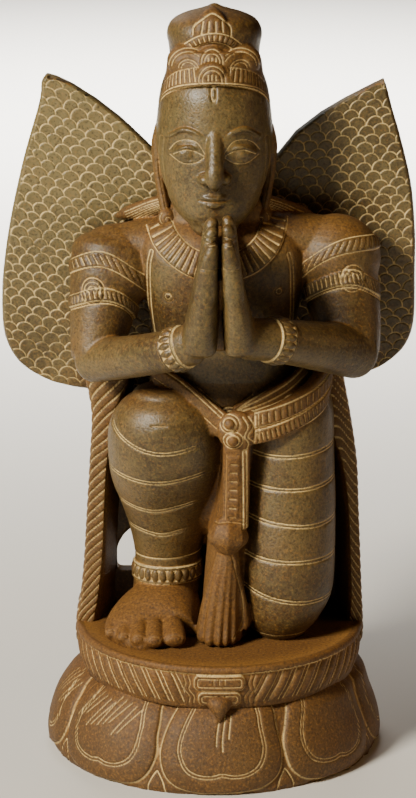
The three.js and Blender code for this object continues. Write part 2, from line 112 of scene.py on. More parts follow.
def curve(points, count=40):
    """The points of a smooth line through a few given ones."""
    return spline(points)(np.linspace(0, 1, count))


def unit(rows):
    """Rows of vectors, each with a length of one."""
    return rows / np.maximum(np.linalg.norm(rows, axis=-1, keepdims=True), 1e-9)


def sided(side, rows):
    """Points or stations given for the right side, on the side that is asked for."""
    return [(side * x, *rest) for x, *rest in rows]


def arc(centre, wide, high, start=0.0, end=2 * math.pi, count=40, grow=0.0):
    """Points on an arc round a centre. grow widens it with the angle, into a curl."""
    x, z = centre
    return [(x + (wide + grow * a) * math.cos(a), z + (high + grow * a) * math.sin(a))
            for a in np.linspace(start, end, count)]


def from_nearest(value, pitch):
    """How far each value lies from the nearest multiple of pitch."""
    return (value / pitch - np.round(value / pitch)) * pitch


def groove(gap, width):
    """The section of an engraved line: 1 in its middle, and next to nothing at its width."""
    return np.exp(-((gap / (0.5 * width)) ** 2))


def meshed(bm, name="form"):
    """A bmesh as a mesh."""
    mesh = bpy.data.meshes.new(name)
    bm.to_mesh(mesh)
    bm.free()
    return mesh


def placed(name, data):
    """An object in the scene."""
    obj = bpy.data.objects.new(name, data)
    bpy.context.scene.collection.objects.link(obj)
    return obj


def shaped(bm, place):
    """Moves every vertex of a bmesh to where place puts it."""
    moved = place(np.array([v.co for v in bm.verts]))
    for vert, point in zip(bm.verts, moved):
        vert.co = point
    bmesh.ops.recalc_face_normals(bm, faces=bm.faces)
    if bm.calc_volume(signed=True) < 0:
        bmesh.ops.reverse_faces(bm, faces=bm.faces)
    return bm


def limb(stations, power=2.0, front=(0, -1, 0), level=False, cap=1.0, flat=False, columns=40, rows=None,
         swell=None):
    """A rounded form around a spine, on the figure's grid. Each station is x, y, z, half the width and
    half the depth, which lies along front. power squares the section, and level keeps it horizontal.
    The ends are domes, or flat. swell(t, angle) scales the section."""
    stations = np.asarray(stations, float)
    spine = spline(stations[:, :3])
    girth = spline(stations[:, 3:5])
    walk = spine(np.linspace(0, 1, 60))
    length = np.linalg.norm(np.diff(walk, axis=0), axis=1).sum()
    ends = 0.14
    row_height = 1.7
    rows = rows or int(max(14, length / row_height))
    bm = bmesh.new()
    bmesh.ops.create_uvsphere(bm, u_segments=columns, v_segments=rows, radius=1)

    def place(ball):
        polar = np.arccos(np.clip(-ball[:, 2], -1, 1)) / math.pi
        angle = np.arctan2(ball[:, 0], -ball[:, 1])
        t = np.clip((polar - ends) / (1 - 2 * ends), 0, 1)
        past = np.where(polar < ends, polar / ends - 1, np.maximum(0, (polar - 1 + ends) / ends))
        lean = past * math.pi / 2
        along = unit(spine(np.minimum(t + 0.01, 1)) - spine(np.maximum(t - 0.01, 0)))
        if level:
            along = np.tile((0.0, 0.0, 1.0), (len(t), 1))
        side = unit(np.cross(along, np.array(front, float)))
        face = unit(np.cross(side, along))
        half = girth(t)
        shrink = 1 - np.abs(past) if flat else np.cos(lean)
        if swell:
            shrink = shrink * swell(t, angle)
        reach = 0 * t if flat else cap * half.min(axis=1) * np.sin(lean)
        across = np.sign(np.sin(angle)) * np.abs(np.sin(angle)) ** (2 / power)
        deep = np.sign(np.cos(angle)) * np.abs(np.cos(angle)) ** (2 / power)
        return (
            spine(t) + along * reach[:, None]
            + side * (across * half[:, 0] * shrink)[:, None]
            + face * (deep * half[:, 1] * shrink)[:, None]
            + np.array((0, 0, FLOOR))
        )

    return shaped(bm, place)


# What the forms of the figure share: sections kept level, or a spine that lies across
LEVEL = {"level": True, "cap": 0.3, "columns": 56}
ACROSS = {"front": (0, 0, 1)}


def egg(middle, halves, columns=28, rows=18):
    """An egg with its middle and its three half sizes on the figure's grid."""
    bm = bmesh.new()
    bmesh.ops.create_uvsphere(bm, u_segments=columns, v_segments=rows, radius=1)
    bmesh.ops.scale(bm, vec=halves, verts=bm.verts)
    bmesh.ops.translate(bm, vec=Vector(middle) + Vector((0, 0, FLOOR)), verts=bm.verts)
    return bm


def block(across, deep, tall):
    """A unit cube cut into a grid of faces on every side."""
    bm = bmesh.new()
    bmesh.ops.create_cube(bm, size=1)
    for axis, count in enumerate((across, deep, tall)):
        edges = [e for e in bm.edges if abs(e.verts[0].co[axis] - e.verts[1].co[axis]) > 0.5]
        bmesh.ops.subdivide_edges(bm, edges=edges, cuts=count - 1, use_grid_fill=True)
    return bm


def spun(profile, steps):
    """A closed body turned from a profile of radius and height that starts and ends on the axis."""
    bm = bmesh.new()
    verts = [bm.verts.new((r, 0, z)) for r, z in profile]
    edges = [bm.edges.new(pair) for pair in zip(verts, verts[1:])]
    bmesh.ops.spin(bm, geom=verts + edges, cent=(0, 0, 0), axis=(0, 0, 1), dvec=(0, 0, 0),
                   angle=2 * math.pi, steps=steps, use_merge=True, use_duplicate=False)
    bmesh.ops.remove_doubles(bm, verts=bm.verts, dist=1e-5)
    bmesh.ops.recalc_face_normals(bm, faces=bm.faces)
    return bm


def gathered(bm, share=0.5):
    """Moves the points of a spun form round its axis so that they lie closer together in front."""
    for vert in bm.verts:
        x, y, z = vert.co
        angle = math.atan2(x, -y)
        angle -= share * math.sin(angle)
        radius = math.hypot(x, y)
        vert.co = (radius * math.sin(angle), -radius * math.cos(angle), z)
    return bm


def plate(outline, front, back):
    """An upright plate with an outline of x and z on the figure's grid."""
    bm = bmesh.new()
    face = bm.faces.new([bm.verts.new((x, front, z + FLOOR)) for x, z in outline])
    made = bmesh.ops.extrude_face_region(bm, geom=[face], use_keep_orig=True)
    moved = [part for part in made["geom"] if isinstance(part, bmesh.types.BMVert)]
    bmesh.ops.translate(bm, vec=(0, back - front, 0), verts=moved)
    bmesh.ops.recalc_face_normals(bm, faces=bm.faces)
    return bm


def joined(forms):
    """Several bmeshes as one mesh, with the number of the form that each face comes from."""
    whole = bmesh.new()
    counts = []
    for form in forms:
        part = meshed(form)
        before = len(whole.faces)
        whole.from_mesh(part)
        counts.append(len(whole.faces) - before)
        bpy.data.meshes.remove(part)
    return meshed(whole), np.repeat(np.arange(len(counts)), counts)


def regrained(obj, voxel):
    """The object's skin with an even grain of faces and softened creases."""
    grain = obj.modifiers.new("grain", "REMESH")
    grain.mode = "VOXEL"
    grain.voxel_size = voxel
    ready = obj.evaluated_get(bpy.context.evaluated_depsgraph_get())
    bm = bmesh.new()
    bm.from_mesh(ready.data)
    bpy.data.objects.remove(obj)
    for _ in range(SOFTENINGS):
        bmesh.ops.smooth_vert(bm, verts=bm.verts, factor=0.5, use_axis_x=True, use_axis_y=True,
                              use_axis_z=True)
    return bm


def one_skin(forms, voxel):
    """Joins overlapping forms into one skin, and says for each of its points which form it lies on.
    forms is a dictionary from name to bmesh."""
    mesh, owner = joined(forms.values())
    tree = BVHTree.FromPolygons([v.co for v in mesh.vertices], [p.vertices[:] for p in mesh.polygons])
    bm = regrained(placed("raw", mesh), voxel)
    hits = [tree.find_nearest(v.co)[2] for v in bm.verts]
    return bm, owner[np.array(hits)], list(forms)


# The surface while it is being carved
def nearest(points, line):
    """For each 2-D point, the distance to a line, the length along it and the side it lies on."""
    line = np.asarray(line, float)
    best = np.full(len(points), 1e9)
    along = np.zeros(len(points))
    side = np.zeros(len(points))
    walked = 0.0
    for a, b in zip(line, line[1:]):
        step = b - a
        length = math.hypot(*step)
        if length < 1e-9:
            continue
        way = step / length
        rel = points - a
        u = np.clip(rel @ way, 0, length)
        gap = np.hypot(*(rel - u[:, None] * way).T)
        closer = gap < best
        best = np.where(closer, gap, best)
        along = np.where(closer, walked + u, along)
        side = np.where(closer, way[0] * rel[:, 1] - way[1] * rel[:, 0], side)
        walked += length
    return best, along, np.sign(side)


def rise(value, start, end):
    """Goes smoothly from 0 at start to 1 at end."""
    t = np.clip((value - start) / (end - start), 0, 1)
    return t * t * (3 - 2 * t)


def wave(rows, seed, size):
    """A smooth, fixed unevenness from about -1 to 1, for points in rows, with bumps of about size."""
    rng = np.random.default_rng(seed)
    total = np.zeros(len(rows))
    waves = 7
    for _ in range(waves):
        direction = unit(rng.normal(size=3))
        turn = 2 * math.pi / (size * rng.uniform(0.7, 1.5))
        total += np.sin(rows @ direction * turn + rng.uniform(0, 6.28))
    return total / (waves / 2)


class Surface:
    """The points of one piece while it is being carved."""

    def __init__(self, name, bm, owner=None, forms=()):
        self.name = name
        self.mesh = meshed(bm, name)
        count = len(self.mesh.vertices)
        self.co = np.zeros(count * 3)
        self.mesh.vertices.foreach_get("co", self.co)
        self.co = self.co.reshape(-1, 3)
        edges = np.zeros(len(self.mesh.edges) * 2, int)
        self.mesh.edges.foreach_get("vertices", edges)
        self.edges = edges.reshape(-1, 2)
        self.owner = owner if owner is not None else np.zeros(count, int)
        self.forms = list(forms)
        self.lift = np.zeros(count)
        self.dust = np.zeros(count)
        self.rough = np.zeros(count)
        normals = np.zeros(count * 3)
        self.mesh.vertex_normals.foreach_get("vector", normals)
        self.normal = normals.reshape(-1, 3)

    def spread(self, values, rounds):
        """Averages values over neighbouring points, again and again."""
        a, b = self.edges.T
        share = np.bincount(self.edges.ravel(), minlength=len(self.co))
        share = np.maximum(share, 1)
        flat = values.ndim == 1
        columns = values[:, None] if flat else values
        for _ in range(rounds):
            columns = np.stack([
                (np.bincount(a, column[b], len(share)) + np.bincount(b, column[a], len(share))) / share
                for column in columns.T
            ], axis=1)
        return columns[:, 0] if flat else columns

    def part_of(self, *names):
        """Which points lie on the named forms, or on the whole piece where none is named."""
        numbers = [self.forms.index(name) for name in names]
        return np.isin(self.owner, numbers) if names else np.ones(len(self.co), bool)

    def on(self, *names, facing=0.1):
        """The points of the named forms that face forward by at least the given share."""
        return np.nonzero((self.normal[:, 1] < -facing) & self.part_of(*names))[0]

    def roughen(self, share, *names):
        """Leaves the named forms, or the whole piece, rough by the given share, so that dust stays on."""
        self.rough[self.part_of(*names)] = share

    def front(self, points):
        """Where points lie in the view from the front: x and z on the figure's grid."""
        return np.stack([self.co[points, 0], self.co[points, 2] - FLOOR], axis=1)

    def beside(self, line, margin, *names, facing=0.1):
        """The points near a line of x and z, their distance from it, the length along it and the side."""
        line = np.asarray(line, float)
        points = self.on(*names, facing=facing)
        where = self.front(points)
        near = ((where > line.min(0) - margin) & (where < line.max(0) + margin)).all(1)
        return points[near], *nearest(where[near], line)

    def dusted(self, points, dust):
        """Leaves at least so much dust on the points."""
        self.dust[points] = np.maximum(self.dust[points], dust)

    def cut(self, points, gap, width=LINE, depth=LINE_DEPTH, dust=1.0, double=0.0):
        """Engraves a line, or two side by side: gap is each point's distance from the middle."""
        for shift in (-double / 2, double / 2) if double else (0.0,):
            self.lift[points] -= depth * groove(gap - shift, width)
            self.dusted(points, dust * groove(gap - shift, 1.24 * width))

    def engrave(self, line, *names, width=LINE, depth=LINE_DEPTH, double=0.0, facing=0.1, dust=1.0):
        """Engraves a line given on the figure's grid as x and z, or two lines side by side."""
        points, gap, _, side = self.beside(line, width * 2 + double, *names, facing=facing)
        self.cut(points, gap * side if double else gap, width, depth, dust, double)

    def ribbon(self, line, half, *names, pitch=3.0, height=0.9, ribs=0.5, rims=True, facing=0.05):
        """Raises a band along a line of x and z, with ribs across it and an engraved line at each rim."""
        points, gap, along, side = self.beside(line, half * 2 + 2, *names, facing=facing)
        total = np.hypot(*np.diff(line, axis=0).T).sum()
        inside = 1 - rise(gap, half - 0.5, half + 0.5)
        ends = rise(along, 0.02, 0.6) * (1 - rise(along, total - 0.6, total - 0.02))
        inside = inside * np.where(gap > half + 0.5, 0, 1) * ends
        notch = groove(from_nearest(along, pitch), LINE)
        body = inside * (1 - rise(gap, half - 1.3, half - 0.5))
        self.lift[points] += height * inside
        self.lift[points] -= ribs * notch * body
        self.dusted(points, 0.95 * notch ** 0.7 * body)
        if rims:
            self.cut(points, np.where(ends > 0, gap * side, AWAY), LINE, 0.5, double=2 * half)

    def girdle(self, centre, knots, *names, axis=(0, 0, 1)):
        """For the points of the named forms: how high they lie over a line that goes round an axis, and
        at which angle from the front in degrees. knots are the line's angles and heights."""
        points = self.on(*names, facing=-2)
        axis = unit(np.array(axis, float))
        ahead = unit(np.array((0, -1.0, 0)) + axis * axis[1])
        aside = np.cross(axis, ahead)
        rel = self.co[points] - np.array(centre) - (0, 0, FLOOR)
        angle = np.degrees(np.arctan2(rel @ aside, rel @ ahead))
        knots = np.array(knots, float)
        turn = np.arange(-180, 180, 3)
        level = np.interp(turn, knots[:, 0], knots[:, 1], period=360)
        for _ in range(60):
            level = (np.roll(level, 1) + 2 * level + np.roll(level, -1)) / 4
        height = np.interp(angle, turn, level, period=360)
        return points, rel @ axis - height, angle

    def hoop(self, centre, knots, *names, double=DOUBLE, width=LINE, reach=None, soft=6):
        """Engraves a line, or two side by side, round a limb. reach is where it starts and ends, in degrees
        from the front, and it fades out over the soft degrees before its end."""
        points, height, angle = self.girdle(centre, knots, *names)
        fade = 1
        if reach:
            start, end = reach
            fade = rise(angle, start, start + 6) * (1 - rise(angle, end - soft, end))
        self.cut(points, height, width, LINE_DEPTH * fade, fade, double)

    def bangle(self, centre, knots, half, *names, axis=(0, 0, 1), pitch=12.0, height=1.0, ribs=0.0, beads=0.0,
               start=-180, slant=0.0):
        """Raises a band round a limb, with ribs or beads at every pitch degrees and a line at each rim."""
        points, offset, angle = self.girdle(centre, knots, *names, axis=axis)
        rel = self.co[points] - np.array(centre) - (0, 0, FLOOR)
        along = unit(np.array(axis, float))
        radius = np.linalg.norm(rel - (rel @ along)[:, None] * along, axis=1)
        shown = np.where(angle > start, 1, 0) if start > -180 else 1
        inside = (1 - rise(np.abs(offset), half - 0.4, half + 0.6)) * shown
        self.lift[points] += height * inside
        turn = np.abs(from_nearest(angle + slant * offset, pitch))
        body = inside * (1 - rise(np.abs(offset), half - 1.6, half - 0.8))
        if ribs:
            notch = groove(turn * math.pi / 180 * radius, LINE) * body
            self.lift[points] -= ribs * notch
            self.dusted(points, 0.95 * notch ** 0.7)
        if beads:
            across = (0.5 - turn / pitch) * 2.15
            bead = np.sqrt(np.clip(1 - across ** 2 - (offset / (half - 1.5)) ** 2, 0, 1))
            self.lift[points] += (beads * 1.4 * bead - 0.8) * body
            self.dusted(points, 0.8 * (1 - rise(bead, 0.05, 0.4)) * body)
        self.cut(points, np.where(shown, offset, AWAY), LINE, 0.55, double=2 * half)

    def ball(self, centre, halves, height, *names):
        """Raises a rounded boss at x, z."""
        points = self.on(*names, facing=0.05)
        where = (self.front(points) - np.array(centre)) / np.array(halves)
        radius = np.hypot(*where.T)
        self.lift[points] += height * np.sqrt(np.clip(1 - radius ** 2, 0, 1))
        ring = groove((radius - 1.05) * min(halves), 1.1)
        self.lift[points] -= 0.25 * ring
        self.dusted(points, 0.8 * ring)

    def worn(self, occluder):
        """Finishes the piece: moves the points, and stores what the stone's colour is worked out from."""
        self.co += self.normal * self.lift[:, None]
        near = self.spread(self.co, 3)
        wide = self.spread(near, 14)
        hollow = ((near - self.co) * self.normal).sum(1)
        basin = ((wide - self.co) * self.normal).sum(1)
        self.mesh.vertices.foreach_set("co", (self.co * MM).ravel())
        self.mesh.update()
        for name, values in (
            ("dust", self.dust), ("hollow", hollow), ("basin", basin), ("open", self.openness(occluder)),
            ("rough", self.spread(self.rough, 30)), ("up", self.spread(self.normal[:, 2], 4)),
        ):
            stored = self.mesh.attributes.new(name, "FLOAT", "POINT")
            stored.data.foreach_set("value", values.astype(np.float32))
        self.mesh.polygons.foreach_set("use_smooth", np.ones(len(self.mesh.polygons), bool))
        return self.mesh

    def openness(self, occluder):
        """How much of the space before each point is free, from 0 in a deep recess to 1."""
        rng = np.random.default_rng(4)
        rays = [Vector(ray) for ray in unit(rng.normal(size=(RAYS, 3)))]
        stride = max(1, len(self.co) // RAY_POINTS)
        picked = np.arange(0, len(self.co), stride)
        pair = np.zeros((len(self.co), 2))
        pair[picked, 1] = 1
        for index in picked:
            normal = Vector(self.normal[index])
            start = Vector(self.co[index]) + normal * RAY_START
            reaches = [occluder.ray_cast(start, (normal + ray).normalized(), RAY_REACH)[3] for ray in rays]
            closed = sum(1 - reach / RAY_REACH for reach in reaches if reach is not None)
            pair[index, 0] = 1 - closed / RAYS
        free, known = self.spread(pair, 4 + int(1.2 * math.sqrt(stride))).T
        return np.where(known > 0, free / np.maximum(known, 1e-6), 0.6)


def occluder_tree():
    """The CAD solid, in millimetres, for working out what lies in a recess."""
    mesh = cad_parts["garuda_figure"].data
    return BVHTree.FromPolygons([v.co / MM for v in mesh.vertices], [p.vertices[:] for p in mesh.polygons])


# Lotus plinth, platform, mantle and wings

# The petals' pitch and turn, the radius at which arc lengths along the wall are measured, and how far
# a petal swells out
PETAL_GAP = 2 * math.pi / PETALS
PETAL_TURN = math.radians(2.5)
PETAL_ARC_RADIUS = 98.0
PETAL_SWELL = 3.4
# Half of a petal's edge and of its inner line, as arc length from its middle and height
PETAL_EDGE = curve([
    (31, 56), (34.5, 44), (37, 32), (37.5, 22), (34.5, 12), (27, 5), (15, 1.5), (0, 0.5),
], 30)
PETAL_INNER = curve([
    (19, 56), (22.5, 44), (25, 34), (25, 25), (21.2, 17.2), (14, 13.2), (6, 12.4), (0, 13.6),
], 36)
SMALL_PETAL = curve([(5.5, -1), (4.5, 5), (2, 10), (0, 13)], 12)


def on_petal(co):
    """Which petal each point of the turned wall lies on, and the arc length from that petal's middle."""
    angle = np.arctan2(co[:, 0], -co[:, 1]) - PETAL_TURN
    petal = np.round(angle / PETAL_GAP)
    return petal, (angle - petal * PETAL_GAP) * PETAL_ARC_RADIUS


def lotus_plinth():
    """Eight hanging petals with engraved double lines, and small petals showing between their ends."""
    levels = np.linspace(0, 1, 78)
    bell = 1 - (1 - PLINTH_TOP_RADIUS / PLINTH_RADIUS) * levels ** 1.6
    bell -= 0.012 * (1 - rise(levels, 0, 0.06)) + 0.03 * rise(levels, 0.84, 1.0)
    wall = [(PLINTH_RADIUS * b, PLINTH_HEIGHT * h) for b, h in zip(bell, levels)]
    floor = [(r, 0) for r in (0, 30, 60, 80, 92, 99)]
    top = [(r, PLINTH_HEIGHT) for r in (78, 60, 30, 0)]
    bm = gathered(spun(floor + wall + top, 540))

    def place(co):
        radius = np.hypot(co[:, 0], co[:, 1])
        angle = np.arctan2(co[:, 0], -co[:, 1])
        h = co[:, 2]
        distance, _, side = nearest(np.stack([np.abs(on_petal(co)[1]), h], axis=1), PETAL_EDGE)
        inside = side < 0
        depth = np.where(inside, distance, -distance)
        swell = PETAL_SWELL * (1 - np.exp(-np.clip(depth, 0, None) / 9)) - 1.3 * rise(-depth, 0, 1.6)
        wall_part = rise(radius, 79, 81.5)
        chips = 0.5 * wave(co, 3, 9) * (1 - rise(h, 0, 5))
        grown = np.where(radius > 0, radius - 2.2 * wall_part + (swell + chips) * wall_part, 0)
        x = grown * np.sin(angle) + PLATFORM_SHIFT * rise(h, 30, 52)
        return np.stack([x, -grown * np.cos(angle) * PLINTH_DEPTH_RATIO, h], axis=1)

    turned = np.array([v.co for v in bm.verts])
    plinth = Surface("lotus_plinth", shaped(bm, place))
    wall = np.nonzero(np.hypot(turned[:, 0], turned[:, 1]) > 81)[0]
    turned = turned[wall]
    petal, off = on_petal(turned)
    height = turned[:, 2]
    spots = np.stack([np.abs(off), height], axis=1)
    spots += 0.5 * np.stack([wave(turned, 5, 24), wave(turned, 6, 24)], axis=1)
    plinth.cut(wall, nearest(spots, PETAL_EDGE)[0], 2.0, 1.0, 0.8)
    distance, _, side = nearest(spots, PETAL_INNER)
    plinth.cut(wall, distance * side, 1.1, 0.6, 0.85, double=DOUBLE)
    between = np.stack([np.abs(np.abs(off) - PETAL_ARC_RADIUS * PETAL_GAP / 2), height], axis=1)
    plinth.cut(wall, nearest(between, SMALL_PETAL)[0], 1.0, 0.6)
    scratch(plinth, wall, np.stack([off, height], axis=1), petal)
    plinth.roughen(0.5)
    return plinth


def scratch(plinth, wall, spots, petal):
    """Loose chisel strokes under the band: fans of slanting ones at the left, and three at the front."""
    for number, side in ((-1, -20), (-1, 2), (-2, 12)):
        for k in range(5):
            start = np.array((side + 4.8 * k, 48.5 - 0.8 * k))
            end = start + np.array((-8.5 - k * 0.6, -17.0 + 2.5 * (k % 3)))
            gap = nearest(spots, [start, end])[0]
            plinth.cut(wall, np.where(petal == number, gap, AWAY), 1.4, 0.5, 0.85)
    for k, drop in enumerate((16, 19, 12)):
        start = (-3.5 + 3.6 * k, 46.0)
        gap = nearest(spots, [start, (start[0] + 0.5, 46.0 - drop)])[0]
        plinth.cut(wall, np.where(petal == 0, gap, AWAY), 1.1, 0.6)


def feather_platform():
    """The platform with its lip, a band of curved feathers round the rim and the ornament in front."""
    rim = [(-4.0, -1.5), (-3.0, 0.5)]
    rim += [(-3.0 + 1.6 * k / 36 + 1.1 * math.sin(math.pi * k / 36), 0.5 + 0.5 * k) for k in range(1, 36)]
    rim += [(-1.4, 18.6), (-0.6, 19.3), (0, 20), (0.1, 20.8), (0.1, 21.6), (0, 22.4), (-0.4, 23.2),
            (-1.2, 23.8), (-2.4, BAND_HEIGHT)]
    wall = [(PLATFORM_RADIUS + out, PLINTH_HEIGHT + z) for out, z in rim]
    floor = [(r, PLINTH_HEIGHT - 3.0) for r in (0, 40, 70, 80, 83)]
    top = [(82, FLOOR - 0.5), (78, FLOOR - 0.9)] + [(r, FLOOR - 1) for r in (70, 60, 45, 30, 15, 0)]
    bm = gathered(spun(floor + wall + top, 580), 0.42)

    def place(co):
        return co * (1, PLATFORM_DEPTH_RATIO, 1) + (PLATFORM_SHIFT, 0, 0)

    source = np.array([v.co for v in bm.verts])
    band = Surface("feather_platform", shaped(bm, place))
    radius = np.hypot(source[:, 0], source[:, 1])
    arc_length = np.arctan2(source[:, 0], -source[:, 1]) * PLATFORM_RADIUS
    height = source[:, 2] - PLINTH_HEIGHT
    wall = np.nonzero((radius > 83) & (height > -0.5) & (height < 20.5))[0]
    a, h = np.abs(arc_length[wall]), height[wall]
    a = a + 0.5 * wave(source[wall], 8, 30)
    bend = 9.5 * (np.clip(19 - h, 0, 19) / 19) ** 0.85
    pitch = 9.6
    beyond = rise(a, 20, 22)
    swell = np.cos(2 * math.pi * ((a + bend) / pitch - 0.5))
    band.lift[wall] += beyond * 0.5 * swell * rise(h, 0, 3) * (1 - rise(h, 16, 19))
    offset = np.where(beyond > 0.5, from_nearest(a + bend, pitch), AWAY)
    band.cut(wall, offset, 1.15, 0.75, 0.9, double=3.0)
    band.cut(wall, h - 19.3, 1.3, 0.6)
    top = np.nonzero((radius > 60) & (source[:, 2] > FLOOR - 2))[0]
    for ring in (82.6, 79.4):
        band.cut(top, radius[top] - ring, 1.5, 0.5, 0.6)
    cartouches(band, wall, arc_length[wall], h)
    band.roughen(0.62)
    return band


def cartouches(band, wall, arc_length, h):
    """Two framed tablets one above the other, with plain strokes on them and curls beside them."""
    corner = 3.6
    for centre, half_wide, half_high in ((14.3, 15, 4.7), (4.4, 12.6, 4.4)):
        x, z = np.abs(arc_length) - half_wide, np.abs(h - centre) - half_high
        gap = np.hypot(np.clip(x + corner, 0, None), np.clip(z + corner, 0, None)) - corner
        gap = np.where(gap > -corner, gap, np.maximum(x, z))
        band.lift[wall] += 2.0 * (1 - rise(gap, -0.4, 0.9))
        band.cut(wall, gap + 0.2, 1.1, 0.5, 0.8)
        band.cut(wall, gap + 2.3, 1.0, 0.6, 0.8)
        for at in (-3.2, 0, 3.2):
            stroke = np.hypot(arc_length - at, np.clip(np.abs(h - centre - 0.8) - 1.6, 0, None))
            band.cut(wall, stroke, 1.0, 0.5, 0.7)
    for side in (-1, 1):
        for out in (17.4, 20.2):
            curl = [(out + 1.6, 18.5), (out, 13.5), (out + 0.8, 9.5), (out - 2.2, 5), (out - 1.6, 0.5)]
            gap = nearest(np.stack([arc_length, h], axis=1), curve(sided(side, curl), 16))[0]
            band.cut(wall, gap, 1.1, 0.6, 0.7)


def leaf_tip():
    """The leaf that hangs from the ornament over the plinth."""
    front = -PLATFORM_RADIUS * PLATFORM_DEPTH_RATIO
    stations = [(PLATFORM_SHIFT, front + 5, -20.5, 9.5, 5.5), (PLATFORM_SHIFT, front + 2.5, -24.5, 7.2, 7),
                (PLATFORM_SHIFT, front + 0.5, -29.5, 3.2, 4.6), (PLATFORM_SHIFT, front - 0.5, -33, 1.0, 1.8)]
    leaf = Surface("leaf_tip", limb(stations, columns=48, rows=40))
    leaf.roughen(0.6)
    return leaf


# Each level of a strip: its height, its outer and inner edge in front, and its inner edge behind
LEFT_STRIP = [
    (-22, -77, -70, -62), (-13, -84.2, -72.5, -62), (3, -84, -71.5, -60), (14, -81.6, -69.5, -60),
    (40, -79, -66.5, -59), (70, -77, -65, -57), (100, -75, -63, -55), (130, -73.5, -58, -50),
    (152, -77, -50, -45),
]
RIGHT_STRIP = [
    (-22, 83, 77, 72), (-13, 90.6, 80, 74), (3, 91, 81.5, 74), (14, 90.3, 82.5, 74), (40, 89, 81.5, 74),
    (70, 87.5, 80, 72), (100, 86, 75.5, 68), (130, 81.5, 65, 58), (156, 76.5, 56, 50),
]


def strip(name, levels, side):
    """One feathered strip at the mantle's side, from the platform's rim up to the wing."""
    edges = spline(levels)
    front = -6.0
    back = WING_FRONT + 5
    bm = block(18, 26, 240)

    def place(unit_co):
        t = unit_co[:, 2] + 0.5
        height, outer, inner, deep = edges(t).T
        across = unit_co[:, 0] + 0.5
        depth = unit_co[:, 1] + 0.5
        corner = 1.6 * ((2 * np.abs(unit_co[:, 0])) ** 8 * (2 * np.abs(unit_co[:, 1])) ** 8)
        far = inner + (deep - inner) * depth
        x = outer + (far - outer) * across
        x = x - np.sign(unit_co[:, 0]) * -side * corner * 0.7
        y = front + (back - front) * depth - np.sign(unit_co[:, 1]) * corner * 0.7
        return np.stack([x, y, FLOOR + height], axis=1)

    source = np.array([v.co for v in bm.verts])
    piece = Surface(name, shaped(bm, place))
    forward = source[:, 1] < -0.499
    outward = (source[:, 0] < -0.499) & ~forward
    _, outer, inner, _ = edges(source[:, 2] + 0.5).T
    across = (source[:, 0] + 0.5) * np.abs(outer - inner)
    depth = (source[:, 1] + 0.5) * (back - front)
    height = piece.co[:, 2] - FLOOR + 0.6 * wave(piece.co, 12, 25)
    wobble = 1.4 * np.sin(across * 0.6) if side > 0 else 0
    droop = (11 + 7 * (1 - rise(height, 10, 60))) * (np.clip(across, 0, None) / 11) ** 0.85
    barb(piece, forward, height - droop + wobble, rise(across, 0.2, 1.4))
    barb(piece, outward, height + depth * 0.4, np.full(len(height), 0.6))
    piece.roughen(0.5)
    return piece


def barb(piece, where, run, edge):
    """Engraves slanting barbs, each a little higher at one side, where edge says that there is room."""
    pitch = 6.6
    points = np.nonzero(where)[0]
    offset, edge = from_nearest(run[points], pitch), edge[points]
    piece.lift[points] += 0.25 * offset / pitch * edge
    piece.cut(points, np.where(edge > 0.3, offset, AWAY), 1.9, 0.65 * edge, 0.95)


def mantle():
    """The mantle's slab behind the body, with a small arched window behind the standing foot and rows
    of long plain feathers engraved on its back."""
    middle, half, sill, spring = -40.0, 20.0, 22.0, 32.0
    outline = [(-69.2, -6), (75.2, -6), (84, 30), (82, 90), (77, 130), (60, 175), (30, 262), (-24, 262),
               (-55, 175), (-68, 130), (-66, 90), (-71, 30)]
    arch = [(middle - half, sill), (middle + half, sill)]
    arch += arc((middle, spring), half, half, 0, math.pi, 20)
    slab = placed("slab", meshed(plate(outline, MANTLE_FRONT, MANTLE_BACK)))
    window = placed("window", meshed(plate(arch, MANTLE_FRONT - 8, MANTLE_BACK + 8)))
    hole = slab.modifiers.new("hole", "BOOLEAN")
    hole.operation = "DIFFERENCE"
    hole.solver = "EXACT"
    hole.object = window
    piece = Surface("mantle", regrained(slab, 1.5))
    bpy.data.objects.remove(window)
    behind = np.nonzero(piece.normal[:, 1] > 0.5)[0]
    x, z = piece.co[behind, 0] - 6, piece.co[behind, 2] - FLOOR
    below = z < 132
    pitch = 15.0
    sweep = from_nearest(z - 0.55 * np.abs(x) + 0.8 * wave(piece.co[behind], 21, 60), pitch)
    for gap in (sweep, np.abs(x)):
        piece.cut(behind, np.where(below, gap, AWAY), 2.2, 0.8, 0.5)
    return piece


# The wings' edges, from the lowest point to the tip
WING_FOOT = 137.0
LEFT_OUTER = [
    (-69.7, WING_FOOT), (-87.9, 139.5), (-105.4, 145.8), (-118, 155), (-125.4, 168.5), (-127.6, 185),
    (-126.5, 210.5), (-121.6, 242.3), (-113.2, 278.6), (-104.3, 308.5), (-102.2, 318), (-101.5, 325),
    (-98.8, 329),
]
LEFT_INNER = [
    (-30, WING_FOOT), (0, 139), (0, 259), (-34.7, 283), (-44.7, 293), (-55.3, 303), (-69.4, 314),
    (-83.4, 323), (-93, 327.6), (-98, 329),
]
RIGHT_OUTER = [
    (40, 146), (77.5, 147.2), (88.4, 147.7), (96.9, 149.9), (105.9, 155.2), (114.2, 163.4), (118.9, 173.4),
    (120.6, 186), (120.4, 210), (120, 235), (117, 264.2), (109.9, 293), (105.5, 307.4), (101.9, 320.4),
    (99.9, 326),
]
RIGHT_INNER = [
    (0, 139), (0, 259), (36.5, 280), (48.3, 294.8), (63, 306.2), (77, 314.5), (91.1, 321.8), (99.5, 326),
]


def edge_of(points, smooth):
    """A wing's edge as a function from height to x."""
    line = np.array(points, float)
    if smooth:
        line = curve(line, 400)
    order = np.argsort(line[:, 1], kind="stable")
    return lambda z: np.interp(z, line[order, 1], line[order, 0])


